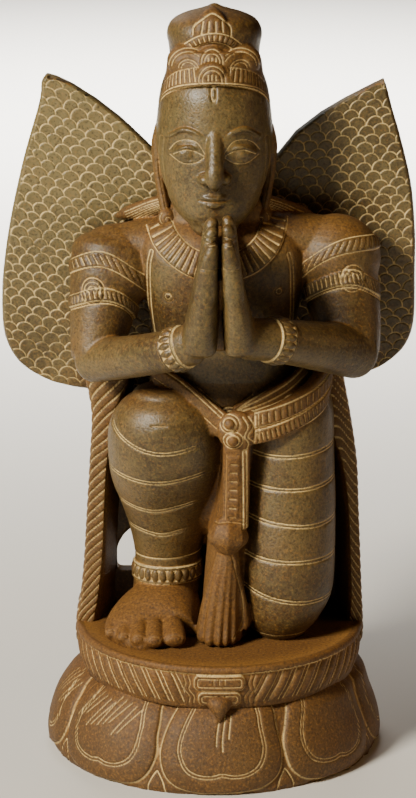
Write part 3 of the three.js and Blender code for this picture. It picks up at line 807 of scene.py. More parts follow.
def wing(name, outer, inner, side):
    """A leaf-shaped wing with rows of small scales on its front and long feathers on its back."""
    bm = block(168, 4, 300)
    source = np.array([v.co for v in bm.verts])
    low, high = outer[0][1], outer[-1][1]
    outer_x = edge_of(outer, True)
    inner_x = edge_of(inner, False)

    def place(co):
        t = co[:, 2] + 0.5
        z = low + (high - low) * t
        ease = 2.0 * (2 * np.abs(co[:, 1])) ** 5
        x_out, x_in = outer_x(z), inner_x(z)
        share = (co[:, 0] + 0.5) ** 0.75
        width = np.abs(x_out - x_in)
        x = x_in + (x_out - x_in) * share
        trim = ease * rise(share, 0.9, 1.0) * np.minimum(1, width / 8)
        x = x - side * trim
        above = inner_x(z) * side > 1
        x = np.where(above & (share < 0.1), x + side * ease * (1 - share / 0.1) * np.minimum(1, width / 8), x)
        z = z + ease * (1 - rise(t, 0.0, 0.03)) - ease * rise(t, 0.98, 1.0)
        z = z - (low - WING_FOOT) * (1 - rise(np.abs(x), 5, 60)) * (1 - rise(t, 0, 0.12))
        y = WING_FRONT + WING_THICKNESS * (co[:, 1] + 0.5)
        return np.stack([x, y, z + FLOOR], axis=1)

    piece = Surface(name, shaped(bm, place))
    outline = [*curve(outer, 60), *reversed(inner)]
    where = np.stack([piece.co[:, 0], piece.co[:, 2] - FLOOR], axis=1)
    margin, _, _ = nearest(where, outline)
    front = np.nonzero(source[:, 1] < -0.499)[0]
    scales(piece, front, margin[front], side)
    piece.roughen(0.05)
    tufts(piece, side)
    behind = np.nonzero(source[:, 1] > 0.499)[0]
    x, z = where[behind].T
    pitch = 17.0
    sweep = from_nearest(np.abs(x) - 0.28 * (z - WING_FOOT) + 1.2 * wave(piece.co[behind], 31, 70), pitch)
    piece.cut(behind, np.where(margin[behind] > 5, sweep, AWAY), 1.9, 0.6, 0.5)
    piece.cut(behind, margin[behind] - 4.5, 1.7, 0.6, 0.5)
    return piece


# The scales' size, how much their rows lean, and the distance from the middle at which they are level
SCALE_WIDE = 9.4
SCALE_TALL = 5.3
WING_LEAN = 0.1
WING_MIDDLE = 62.0


def chance(row, column, along, across, size, more=0.0):
    """A fixed uneven value from 0 to 1 for each place in a grid."""
    value = np.sin(row * along + column * across + more) * size
    return value - np.floor(value)


def scales(piece, points, margin, side):
    """Uneven rows of small scales, each with a raised body and an engraved arc over it. The rows lean
    with the wing's upper edge, and each row lies over the foot of the row above it."""
    co = piece.co[points]
    u = co[:, 0] + 0.8 * wave(co, 41, 45)
    v = co[:, 2] - FLOOR - WING_LEAN * (np.abs(co[:, 0]) - WING_MIDDLE) + 0.8 * wave(co, 43, 45)
    gap = np.full(len(points), AWAY)
    body = np.zeros(len(points))
    taken = np.zeros(len(points), bool)
    for down in (-2, -1, 0, 1):
        row = np.floor(v / SCALE_TALL) + down
        for beside in (-1, 0, 1):
            column = np.round(u / SCALE_WIDE - 0.5 * (row % 2)) + beside
            first = chance(row, column, 12.9898, 78.233, 43758.5453, side * 4.1) - 0.5
            second = chance(row, column, 39.346, 11.135, 24634.6345) - 0.5
            middle = (column + 0.5 * (row % 2) + 0.2 * first) * SCALE_WIDE
            above = v - (row + 0.26 * second) * SCALE_TALL
            across = (u - middle) / (SCALE_WIDE * (0.53 + 0.07 * second))
            up = np.clip(above, 0, None) / (SCALE_TALL * (0.93 + 0.14 * first))
            radius = np.hypot(across, up)
            away = (radius - 1) * 5.2
            inside = (radius < 1) & (above > -1.7 * SCALE_TALL)
            fresh = inside & ~taken
            outside = ~taken & ~inside & (above > -SCALE_TALL)
            gap = np.where(outside, np.minimum(gap, np.abs(away)), gap)
            gap = np.where(fresh, np.minimum(gap, -away), gap)
            body = np.where(fresh, radius ** 2, body)
            taken |= fresh
    shown = rise(margin, 0.4, 1.2)
    piece.lift[points] += shown * 0.45 * body
    faint = np.clip(0.92 + 0.12 * wave(co, 47, 22), 0.75, 1)
    piece.cut(points, np.where(shown > 0.5, gap, AWAY), 1.0, 0.45, faint)


def tufts(piece, side):
    """Long fine strokes that fan from the ear over the shoulder onto the wing."""
    for k in range(9):
        stroke = [(32, 254 - 1.2 * k), (43, 252 - 1.6 * k), (52 - 0.4 * k, 249 - 1.9 * k)]
        piece.engrave(curve(sided(side, stroke), 12), facing=-0.3, width=1.0, depth=0.45, dust=0.85)


# Legs, belt and sash

# The engraved hoops: a point on each leg's axis, and each line's heights at angles from the front
RAISED_AXIS = (-29, -12, 0)
KNEELING_AXIS = (44, -14, 0)
RAISED_HOOPS = [
    [(-90, 143), (-55, 134), (-30, 123.4), (-8, 116.6), (10, 119.4), (35, 125), (90, 132), (180, 138)],
    [(-80, 106), (-40, 101.7), (-12, 98.4), (11, 100.8), (34, 105), (90, 109), (180, 112)],
    [(-75, 83), (-39, 78.7), (-15, 77.6), (6, 80), (26, 84), (90, 88), (180, 88)],
    [(-75, 64), (-20, 60.4), (15, 61.5), (37, 65), (90, 68), (180, 68)],
]
RAISED_HEM = [(-90, 42.5), (0, 43.4), (90, 45.5), (180, 44)]
KNEELING_HOOPS = [
    [(-90, 117), (-40, 114.5), (0, 113.9), (30, 115.5), (68, 117), (180, 122)],
    [(-90, 97), (-40, 95.3), (0, 94.3), (30, 94.6), (68, 97), (180, 101)],
    [(-90, 79), (-40, 76), (0, 73.1), (30, 71.6), (68, 73.5), (180, 79)],
    [(-90, 57), (-40, 53), (-15, 51.4), (20, 51), (68, 51), (180, 56)],
    [(-90, 39), (-45, 33.5), (-15, 27.5), (15, 25.3), (45, 25), (180, 32)],
]
BELT_AXIS = (10, -5, 0)
BELT_UPPER = [(0, 136), (21, 138.3), (41, 143.8), (61, 149.5), (90, 163), (120, 168), (180, 168), (-60, 136)]
BELT_LOWER = [(0, 126), (21, 127.6), (41, 134.2), (66, 142), (90, 154), (120, 159), (180, 159), (-60, 126)]


def legs():
    """The raised right leg, the kneeling left one, and the belt, sash, tassel and cloth end."""
    forms = {
        "raised_shin": limb([
            (-29, 4, 18, 20.5, 19), (-28, 2, 40, 20, 18.5), (-27.5, -3, 58, 23, 21),
            (-27.5, -8, 75, 27.5, 25), (-28.5, -15, 94, 32.5, 29.5), (-28.5, -20, 112, 34.5, 32),
            (-29, -23, 130, 33, 31.5), (-29, -24, 142, 27, 27), (-29, -24, 149, 19, 19),
        ], **LEVEL),
        "raised_thigh": limb([
            (-29, -18, 122, 30, 26), (-22, -6, 120, 30, 27), (-12, 4, 116, 30, 28),
        ], **ACROSS, cap=0.7),
        "kneeling_thigh": limb([
            (40, -23, -2, 13, 13), (40, -22, 4, 18.5, 20.5), (41, -21, 12, 23.5, 25.5),
            (42.5, -20.5, 24, 27.8, 27.8), (43, -20, 38, 29, 29), (43.5, -18, 60, 29, 29.5),
            (44, -15, 84, 28.5, 29.5), (44, -12, 110, 27.5, 30), (42, -9, 134, 29, 32), (38, -6, 150, 30, 30),
        ], **LEVEL, rows=110),
        "kneeling_shin": limb([(42, -10, 17, 20, 18), (38, 16, 15, 17, 15)], **ACROSS, cap=0.8),
        "seat": egg((10, 8, 88), (52, 24, 46)),
        "between": limb([
            (8, -14, 4, 16, 25), (8.5, -18, 60, 12, 24), (11, -20, 90, 9.5, 24), (12.5, -20, 122, 8, 23),
        ]),
        "hips": limb([(8, 2, 84, 46, 30), (8, 0, 116, 50, 32), (8, -2, 138, 50, 33), (7, -3, 156, 44, 29)],
                     level=True, power=2.3, columns=56),
        "sole": limb([
            (-26, 20, 8, 15, 14), (-28.5, 4, 8, 20.5, 18), (-32, -9, 6.5, 24.5, 20),
            (-36, -20, 4.5, 27, 18.6), (-38.5, -30, 2.5, 27.5, 15), (-38, -37, 1.2, 22.5, 11),
            (-35.5, -43, 0.6, 17.5, 7.6), (-33, -48, 0, 13, 5.2),
        ], **ACROSS, cap=0.5, columns=56, power=2.2),
        "belt": limb([
            (6, -42.5, 132, 4, 8), (18, -45.2, 132.5, 4, 9.5), (36, -43, 137, 4, 10),
            (52, -35, 144, 4, 10), (62, -23, 153, 4, 10), (65.5, -6, 160, 4, 10), (61, 10, 163, 4, 10),
        ], **ACROSS, power=4, flat=True, columns=48),
        "clasp": egg((13, -47, 132.5), (11.5, 5.5, 12)),
        "sash": limb([(13, -45.5, 124, 8, 4.5), (12.7, -41, 100, 8, 6), (12.3, -42.5, 72, 8, 6.5)], power=4,
                     flat=True, columns=48),
        "tassel": limb([
            (8.5, -42, 77, 7.5, 6), (8.2, -43.5, 72, 10.5, 9), (8, -44.5, 65, 12.5, 10.5),
            (7.5, -45, 58, 6, 6),
        ], columns=8, rows=9, cap=0.3),
        "cloth_end": limb([
            (8, -42, 62, 5.5, 5), (7, -41.5, 48, 8.6, 8), (5, -40, 30, 11.4, 11), (3.5, -38.5, 12, 13.6, 14),
            (3, -38, 4, 14.2, 16.2), (3, -38, 0, 12.5, 14.5),
        ], level=True, columns=110, rows=70, cap=0.2, swell=pleats),
        "cloth_flap": limb([
            (12.5, -42, 46, 2.4, 3), (15.5, -41.5, 28, 3.4, 4), (17.6, -39, 12, 4.4, 5), (14, -43, 7, 4.6, 4),
        ], level=True),
        "left_girth": limb([
            (6, -41.5, 133, 3, 8), (-6, -39, 142, 3, 7.5), (-20, -34, 153, 3, 7), (-33, -26, 161, 3, 6),
        ], **ACROSS, power=3),
        "right_girth": limb([
            (14, -39.5, 140, 3, 6), (30, -37, 146, 3, 7.5), (46, -29.5, 153, 3, 8), (58, -14, 161, 3, 8),
        ], **ACROSS, power=3),
    }
    for number, (x, tip, wide, high) in enumerate(TOES):
        forms[f"toe_{number}"] = limb([
            (x * 0.9 - 3.5, tip + 18, high + 4.4, wide * 0.9, high),
            (x * 0.97 - 1.2, tip + 10, high + 1.6, wide, high),
            (x, tip + 3.6, high * 0.92, wide, high * 0.92),
        ], **ACROSS, columns=30, cap=0.75)
    surface = Surface("legs", *one_skin(forms, 0.76))
    for number, hoop in enumerate(RAISED_HOOPS):
        reach = (-62, 36) if number == 0 else (-180, 46)
        surface.hoop(RAISED_AXIS, hoop, "raised_shin", "raised_thigh", reach=reach, soft=14)
    surface.hoop((-28, 0, 0), RAISED_HEM, "raised_shin", double=0, width=1.2)
    surface.engrave([(-36.5, 136.4), (-28, 136.6)], "raised_shin", width=1.0, dust=0.7)
    for hoop in KNEELING_HOOPS:
        surface.hoop(KNEELING_AXIS, hoop, "kneeling_thigh")
    surface.hoop(KNEELING_AXIS, [(0, 3.4)], "kneeling_thigh", double=0, reach=(-60, 60))
    surface.bangle((-28.5, 2, 0), [(0, 32), (90, 32.4), (-90, 31.6)], 5.4, "raised_shin", pitch=15,
                   height=1.6, beads=1.0)
    for level, pitch, slant in ((BELT_UPPER, 4.4, 0), (BELT_LOWER, 3.2, 0.25)):
        surface.bangle(BELT_AXIS, level, 4.2, "belt", "hips", "kneeling_thigh", pitch=pitch, height=0.9,
                       ribs=1.2, start=17, slant=slant)
    clasp(surface)
    sash(surface)
    feet(surface)
    edge = curve([(4, 140.5), (-6, 149.5), (-20, 160.5), (-33, 167)], 16)
    surface.engrave(edge, "left_girth", "hips", facing=-0.3, double=2.4, width=1.1, dust=0.95)
    surface.engrave(edge - (2.5, 8.5), "left_girth", "hips", facing=-0.3, dust=0.8)
    for rise_by, end in ((0, 161), (4.4, 166.5), (8.6, 172)):
        fold = [(13, 142 + 0.2 * rise_by), (28, 146.5 + 0.8 * rise_by), (42, 152.5 + rise_by), (55, end)]
        surface.engrave(curve(fold, 20), "right_girth", "hips", facing=-0.3, width=1.5, depth=0.8, dust=0.85)
    return surface


# Each toe's x, the y of its tip, and half its width and height
TOES = [
    (-23.5, -55.5, 6.9, 5.0), (-35.2, -57, 5.3, 4.6), (-44.6, -55, 5.0, 4.5), (-53.2, -50.5, 4.9, 4.3),
    (-60.8, -43, 4.8, 4.1),
]


def pleats(t, angle):
    """Valleys between the folds of the cloth end, deeper towards its hem."""
    valleys = sum(np.exp(-((np.degrees(angle) - at) / wide) ** 2) for at, wide in (
        (-128, 9), (-88, 8), (-50, 6), (-14, 7), (9, 5), (30, 6), (56, 6), (92, 8), (135, 9),
    ))
    return 1 - (0.03 + 0.17 * t) * valleys


def clasp(surface):
    """The belt's clasp: two knobs in rings one above the other, curls beside them and a bar."""
    names = ("clasp", "belt", "sash", "hips")
    for x, z in ((8.8, 137.4), (10.8, 127.6)):
        surface.ball((x, z), (5.6, 5.2), 1.2, *names)
        surface.ball((x, z), (3.1, 3.1), 1.6, *names)
        for size, deep in ((3.6, 0.7), (5.8, 0.6)):
            surface.engrave(arc((x, z), size, 0.94 * size), *names, width=1.1, depth=deep, dust=0.95)
    for bow in (0, 3.2):
        line = [(16.5 + bow, 141.5), (19.5 + bow, 136), (17.5 + 0.6 * bow, 130), (20 + bow, 125),
                (18 + bow, 120)]
        surface.engrave(curve(line, 24), *names, width=1.1, depth=0.6, dust=0.95)
    surface.engrave([(24.3, 121), (24.8, 131), (24.4, 142)], *names, double=2.2, depth=0.7, dust=0.85)


def sash(surface):
    """The ribbed sash that hangs between the knees, with a double line down its edge, and the tassel."""
    surface.ribbon([(11.4, 117.5), (11.0, 96), (10.6, 79)], 3.4, "sash", "between", pitch=5.4, height=0.9,
                   ribs=1.2, rims=False)
    surface.engrave([(7.0, 118), (6.6, 96), (6.2, 78)], "sash", "between", width=1.2, depth=0.6, dust=0.6)
    surface.engrave([(17.6, 120), (18, 96), (18.2, 72)], "sash", "between", double=2.2, width=1.15)
    surface.engrave([(-3, 75.5), (8, 77.5), (19, 75.5)], "tassel", "sash", width=1.2, dust=0.6)
    surface.roughen(0.62, "sash", "tassel", "cloth_end", "cloth_flap", "belt", "clasp", "between",
                    "left_girth", "right_girth", "sole", *[f"toe_{number}" for number in range(len(TOES))])
    surface.roughen(0.35, "hips", "seat")
    edge = curve([(10.5, 56), (13.8, 42), (17.2, 26), (16.5, 13), (12, 5)], 20)
    surface.engrave(edge, "cloth_end", "cloth_flap", width=1.3, depth=0.6, dust=0.7)


def feet(surface):
    """Nails on the toes."""
    for number, (x, _, wide, high) in enumerate(TOES):
        nail = arc((x, high * 1.3), 0.58 * wide, 0.42 * high, math.pi / 2 - 2.2, math.pi / 2 + 2.2, 20)
        surface.engrave(nail, f"toe_{number}", facing=-0.4, width=1.0, depth=0.4, dust=0.55)


# Torso, arms and hands

# Each band's arm, the point on its axis, half its width, and its heights at angles from the front
ARM_STRAPS = [
    ("left_upper", (-61, -3, 0), 4.3,
     [(-90, 219), (-63, 223.6), (-27, 229.8), (0, 229.6), (28, 222.5), (43, 215), (90, 206), (180, 214)]),
    ("right_upper", (73, -3, 0), 4.0,
     [(-90, 211), (-60, 219), (-38, 228.5), (-10, 236), (35, 237.6), (90, 236), (180, 228)]),
]
ARMLETS = [
    ("left_upper", (-64, -7, 0), 3.6,
     [(-90, 199), (-44, 205), (-11, 210.2), (20, 208.6), (39, 204), (58, 196), (90, 192), (180, 196)]),
    ("right_upper", (75, -7, 0), 4.4,
     [(-90, 203), (-58, 210), (-18, 218.4), (14, 219.4), (30, 218.6), (60, 211), (90, 206), (180, 205)]),
]


def torso_and_arms():
    """The chest with its collar, the arms with straps and armlets, and the hands pressed together."""
    forms = {
        "body": limb([
            (7.5, -1, 138, 48, 31), (7, -3, 160, 43, 29), (6, -4, 180, 42, 29), (5, -4, 204, 46, 33),
            (4, -3, 226, 50, 35), (3, -1, 240, 48, 31), (2, 1, 250, 32, 23),
        ], level=True, power=2.3, columns=64),
        "left_shoulder": egg((-58, -2, 220), (27, 24, 25)),
        "right_shoulder": egg((71, -1, 225), (27, 25, 26)),
        "girdle": limb([
            (-60, -1, 229, 17, 15.5), (-28, 0, 236, 19, 13.5), (3, 1, 239, 20, 13), (38, 0, 238.5, 19, 14),
            (72, 0, 233, 17, 16),
        ], **ACROSS),
        "web": limb([(3, -40, 190, 8, 26), (3, -46, 246, 6, 26)]),
        "left_upper": limb([
            (-60, -2, 228, 24, 22), (-63, -6, 210, 22, 21), (-67, -13, 188, 18, 18.5),
            (-70, -20, 171, 14.5, 15),
        ], cap=0.6, columns=48),
        "left_fore": limb([
            (-70.5, -20, 168, 13.5, 13.5), (-48, -44, 176, 12.5, 12.3), (-25, -65, 185, 12.2, 12),
            (-13, -74, 191, 10.5, 12),
        ], cap=0.6, columns=44, **ACROSS),
        "right_upper": limb([
            (72, -2, 231, 25, 23), (74, -6, 211, 22.5, 21), (78, -13, 189, 20, 19),
            (81, -20, 174, 16.5, 16.5),
        ], cap=0.6, columns=48),
        "right_fore": limb([
            (82, -20, 173, 16.5, 16), (60, -43, 182, 14.5, 14.3), (34, -65, 191, 12.2, 12.4),
            (19, -74, 194, 10.5, 12),
        ], cap=0.6, columns=44, **ACROSS),
        "left_palm": limb([
            (-9, -74, 190, 10.5, 13), (-7.2, -76, 204, 9.5, 16), (-5.4, -77, 219, 8, 16.5),
            (-4.4, -78, 232, 6.6, 16),
        ], power=2.5, cap=0.5),
        "right_palm": limb([
            (14.5, -74, 190, 9.5, 13), (13, -76, 204, 8.8, 16), (10.8, -77, 219, 7.2, 16.5),
            (9.4, -78, 232, 6, 16),
        ], power=2.5, cap=0.5),
        "left_thumb": limb([(-5.5, -64, 200, 5, 6), (-4.5, -58, 228, 4, 4.4), (-3.6, -58, 240, 3.4, 4)]),
        "right_thumb": limb([(11, -64, 200, 5, 6), (9.6, -58, 228, 4, 4.4), (8.6, -58, 240, 3.4, 4)]),
        "collar": collar(),
    }
    for side, name, out in ((-1, "left_lock", 0), (1, "right_lock", 1)):
        forms[name] = limb(sided(side, [
            (28, -2, 258, 5, 5.5), (41 + out, 6, 252.5, 5, 5.5), (51 + out, 13, 249, 3.2, 4),
            (58 + out, 18, 246, 1, 1.6),
        ]), **ACROSS)
    for number, (y, top) in enumerate(((-91, 252), (-83, 259.5), (-75, 263), (-67, 258))):
        forms[f"left_finger_{number}"] = limb([
            (-5.2, y + 2, 222, 6.8, 4.6), (-3.6, y + 0.5, 240, 5.4, 4.5), (-2.3, y, top - 6, 4.4, 4.3),
            (-1.5, y, top - 2.5, 3.8, 4.0),
        ], columns=28)
        forms[f"right_finger_{number}"] = limb([
            (10.4, y + 2, 222, 6.2, 4.6), (9, y + 0.5, 240, 5.2, 4.5), (8, y, top - 5, 4.2, 4.3),
            (7.3, y, top - 1, 3.6, 4.0),
        ], columns=28)
    surface = Surface("torso_and_arms", *one_skin(forms, 0.78))
    for name, centre, half, knots in ARM_STRAPS:
        shoulder = name.replace("upper", "shoulder")
        lean = 1.7 if name.startswith("left") else -1.7
        surface.bangle(centre, knots, half, name, shoulder, "girdle", pitch=11, height=0.8, ribs=0.9,
                       slant=lean)
    for name, centre, half, knots in ARMLETS:
        surface.bangle(centre, knots, half, name, pitch=7.4, height=1.1, ribs=1.1, slant=0.6)
        surface.hoop(centre, [(a, z - half - 1.6) for a, z in knots], name, double=0)
    for side, centre in (("left", (-70.5, 210.5)), ("right", (80, 218))):
        names = (f"{side}_upper", f"{side}_shoulder")
        surface.ball(centre, (6.6, 7.4), 1.3, *names)
        for size in (2.6, 4.7, 6.8):
            fan = arc(centre, size, 1.1 * size, -0.2, 3.35, 26)
            surface.engrave(fan, *names, width=1.1, depth=0.6, dust=0.8)
    surface.bangle((-20.5, -68, 187.6), [(0, 0)], 5.2, "left_fore", "left_palm", axis=(0.75, -0.52, 0.4),
                   pitch=20, height=1.3, beads=1.0)
    surface.bangle((34.5, -64.5, 191), [(0, 0)], 5.4, "right_fore", "right_palm", axis=(-0.74, -0.63, 0.26),
                   pitch=19, height=1.3, beads=1.0)
    chest(surface)
    fingers(surface)
    surface.roughen(0.6, "collar", "left_lock", "right_lock")
    surface.roughen(0.45, "girdle", "left_shoulder", "right_shoulder", "web")
    surface.roughen(0.25, "left_upper", "right_upper")
    return surface


def collar():
    """A broad ring of stone that lies on the shoulders and the chest."""
    bm = bmesh.new()
    bmesh.ops.create_uvsphere(bm, u_segments=96, v_segments=24, radius=1)

    def place(ball):
        angle = np.arctan2(ball[:, 0], -ball[:, 1])
        polar = np.arccos(np.clip(ball[:, 2], -1, 1))
        ahead = np.cos(angle)
        out = np.sin(polar)
        top = np.cos(polar)
        a = 37 * out
        b = 36 * out
        drop = 2 + 16 * np.clip(ahead, 0, 1) * out ** 2
        z = 240 + 5 * top - drop + 8 * (1 - out) * (top > 0)
        return np.stack([2 + a * np.sin(angle), -5 - b * ahead, FLOOR + z], axis=1)

    return shaped(bm, place)


def chest(surface):
    """The collar's flutes, the breast ornaments, and strokes of hair over the shoulders."""
    line = curve([(-33, 250), (-28.5, 241.5), (-22, 235), (-14, 230), (-4, 227), (4, 226.5), (12, 227.5),
                  (21, 231), (29, 237.5), (33.5, 245), (35.5, 253)], 60)
    surface.ribbon(line, 7.6, "collar", "body", "girdle", "web", pitch=3.3, height=1.2, ribs=1.1, facing=-0.4)
    for edge in (
        [(-36.6, 234), (-38.4, 224), (-38, 200), (-35.5, 178)],
        [(43, 232.5), (45, 224), (45.6, 200), (45, 184)],
    ):
        surface.engrave(curve(edge, 20), "body", "girdle", facing=-0.3, double=DOUBLE, depth=0.6, dust=0.9)
    where = surface.front(slice(None))
    beside = rise(np.abs(where[:, 0] - 3.2), 38, 44) * 0.5 + rise(where[:, 1], 222, 240) * 0.4
    body = surface.part_of("body")
    surface.rough[body] = beside[body]
    for centre in ((-27, 208.5), (37.4, 211.5)):
        surface.ball(centre, (1.5, 1.5), 0.6, "body")
        curl = arc(centre, 2.2, 2.2, 0, 6, 30, grow=0.25)
        surface.engrave(curl, "body", width=1.0, depth=0.4, dust=0.55)
    for side, name in ((-1, "left_lock"), (1, "right_lock")):
        for k in range(7):
            strand = [(29, 262 - 1.3 * k), (41, 257 - 1.6 * k), (53 - 0.6 * k, 250 - 1.6 * k)]
            strand = curve(sided(side, strand), 10)
            surface.engrave(strand, name, facing=-0.6, width=0.95, depth=0.5, dust=0.85)


def fingers(surface):
    """The line between the two hands, and the lines across the fingers."""
    left = [name for name in surface.forms if name.startswith(("left_finger", "left_palm"))]
    right = [name for name in surface.forms if name.startswith(("right_finger", "right_palm"))]
    parting = curve([(3.2, 262), (3.4, 248), (4, 232), (4.4, 212), (4.6, 200), (5.2, 190)], 24)
    surface.engrave(parting, *left, *right, facing=0.0, width=1.5, depth=1.1, dust=0.7)
    for names, x in ((left, -3), (right, 9)):
        for z, wide in ((254.5, 4.2), (251.8, 4.4), (238, 4.8)):
            surface.engrave([(x - wide, z + 0.8), (x, z), (x + wide, z + 0.8)], *names, facing=0.1, width=0.9,
                            depth=0.45, dust=0.7)


# Head and crown
def head():
    """A calm, regular face with a hooked nose, and a crown of leaves, fans and medallions."""
    forms = {
        "skull": limb([
            (0, -26, 250, 14, 13), (0, -20.5, 258, 22.5, 23), (0, -15.5, 269, 28, 28.5),
            (0, -11, 284, 32, 32.5), (0, -8, 298, 33.5, 35.5), (0, -6, 312, 33, 36.5),
            (0, -5, 326, 31, 35.5), (0, -3, 338, 27, 31),
        ], level=True, cap=0.6, columns=64),
        "neck": limb([(1, -4, 232, 20, 18), (0, -6, 262, 18, 18)]),
        "hair": limb([
            (0, 6, 238, 30, 18), (0, 6, 256, 30.5, 20), (0, 5, 276, 33, 24), (0, 4, 300, 34.2, 28),
            (0, 4, 316, 32, 28),
        ], level=True, power=2.2, cap=0.4, columns=64),
        "nose": limb([
            (0, -37.4, 309, 5.0, 4), (0, -41.5, 300, 4.6, 5), (0, -46.5, 290, 5.0, 5.8),
            (0, -50, 283.5, 5.4, 5.4), (0, -51.4, 279, 4.6, 4.2), (0, -50, 275.8, 2.6, 2.4),
        ], columns=28),
        "chin": egg((0, -34, 253.5), (9.5, 8.5, 7)),
        "panel": limb([
            (-1.5, -21, 355, 11.5, 6), (-1.5, -22.5, 362, 11, 5.5), (-1.3, -18.5, 368, 7, 5),
            (-1, -10, 371.4, 2.4, 2.4),
        ], columns=36),
        "arc": limb([
            (-17, -18.5, 351.5, 2.2, 3), (-9, -24.5, 356, 2.4, 3.4), (-1, -26.6, 357.6, 2.6, 3.4),
            (7, -25.2, 356.4, 2.4, 3.4), (15, -19.5, 351.5, 2.2, 3),
        ], **ACROSS, columns=20),
        "left_leaf": egg((-14.6, -18.5, 343.5), (12.6, 11.5, 10)),
        "right_leaf": egg((14.2, -18.5, 343.5), (12.6, 11.5, 10)),
        "low_medallion": egg((-1.5, -36, 338.5), (8.6, 5, 6.6)),
        "high_medallion": egg((-1.5, -27, 347.5), (7, 4.6, 5.6)),
        "drum": drum(),
        "diadem": diadem(),
    }
    for side, name in ((-1, "left"), (1, "right")):
        forms[f"{name}_cheek"] = egg((side * 15, -26.5, 275), (11, 10, 13))
        forms[f"{name}_eye"] = egg((side * 14.5, -32.5, 293.5), (9.5, 9.2, 7))
        forms[f"{name}_nostril"] = egg((side * 5.4, -46, 280), (4.6, 6.2, 3.6), 20, 12)
        forms[f"{name}_brow"] = limb(sided(side, [
            (4.5, -40.8, 301, 1.1, 1.0), (10, -41.2, 305.5, 1.4, 1.2), (18, -38, 307, 1.4, 1.2),
            (26, -31.4, 302, 1.0, 0.9),
        ]), **ACROSS, columns=14)
        forms[f"{name}_lid"] = limb(sided(side, [
            (6.4, -39.2, 292.2, 0.8, 0.8), (10.5, -41.4, 296.4, 1.05, 1.05), (16, -41.2, 297.6, 1.1, 1.1),
            (21, -37.7, 295.4, 0.95, 0.95), (24.5, -33.8, 292.4, 0.7, 0.7),
        ]), **ACROSS, columns=12)
        forms[f"{name}_underlid"] = limb(sided(side, [
            (6.4, -39.2, 292.2, 0.7, 0.7), (12, -40.6, 289.4, 0.8, 0.8), (18.5, -38.5, 289.2, 0.8, 0.8),
            (24.5, -33.8, 292.4, 0.7, 0.7),
        ]), **ACROSS, columns=12)
        forms[f"{name}_ear"] = limb(sided(side, [
            (32, -2, 303, 2.6, 5.4), (33.6, -3, 293, 3, 6), (32.8, -4, 280, 3, 5), (30.8, -6, 267, 3, 4.4),
            (28.8, -8.5, 257, 3, 4),
        ]))
        forms[f"{name}_ear_ring"] = egg((side * 27.6, -11, 250.5), (5.6, 5, 6.2), 36, 24)
    for name, z, y, wide, r in (("upper_lip", 268.4, -43.6, 9.8, 1.6), ("lower_lip", 264.6, -42.8, 8.0, 2.1)):
        forms[name] = limb([
            (-wide, y + 4.6, z + 0.9, r * 0.5, r * 0.6), (-wide * 0.45, y + 1, z + 0.4, r, r * 1.5),
            (0, y, z, r, r * 1.5), (wide * 0.45, y + 1, z + 0.4, r, r * 1.5),
            (wide, y + 4.6, z + 0.9, r * 0.5, r * 0.6),
        ], columns=18)
    surface = Surface("head", *one_skin(forms, 0.64))
    face(surface)
    crown(surface)
    strands(surface)
    surface.roughen(0.55, "diadem", "panel", "arc", "left_leaf", "right_leaf", "low_medallion",
                    "high_medallion", "left_ear", "right_ear", "left_ear_ring", "right_ear_ring", "hair")
    surface.roughen(0.15, "drum", "neck")
    return surface


def strands(surface):
    """Long plain strands of hair down the back of the head."""
    behind = np.nonzero(surface.part_of("hair") & (surface.normal[:, 1] > 0))[0]
    x, y = surface.co[behind, 0], surface.co[behind, 1] + 4
    pitch = 8.0
    turn = np.radians(from_nearest(np.degrees(np.arctan2(x, y)), pitch))
    surface.cut(behind, turn * np.hypot(x, y), 1.3, 0.8, 0.5)


def drum():
    """The crown's plain drum, which flares a little and ends in a low dome with a point."""
    profile = curve([(0, 316), (28, 317), (29.5, 328), (26.2, 340), (26.2, 349), (27.4, 356), (26.6, 361),
                     (23.6, 365.2), (17.5, 368.4), (9.5, 370.8), (4.4, 372.4), (2, 373.7), (0, 374)], 90)
    profile[0, 0] = profile[-1, 0] = 0
    profile = [(max(r, 0), z + FLOOR) for r, z in profile]
    return spun(profile, 110)


def diadem():
    """A flaring band round the brow, higher in front."""
    bm = bmesh.new()
    bmesh.ops.create_uvsphere(bm, u_segments=110, v_segments=30, radius=1)

    def place(ball):
        angle = np.arctan2(ball[:, 0], -ball[:, 1])
        polar = np.arccos(np.clip(ball[:, 2], -1, 1))
        ahead = np.cos(angle)
        level = np.clip((1 - ball[:, 2] * 1.15) / 2, 0, 1)
        out = np.minimum(1, np.sin(polar) * 2.2)
        a = (27.4 + 5.4 * level ** 1.4) * out
        b = (30.5 + 7.2 * level ** 1.4) * out
        base = 309.5 + 23.5 * np.clip(ahead, 0, 1) ** 0.6
        z = base + (1 - level) * (28 - 11 * np.clip(ahead, 0, 1))
        return np.stack([a * np.sin(angle), -4 - b * ahead, FLOOR + z], axis=1)

    return shaped(bm, place)


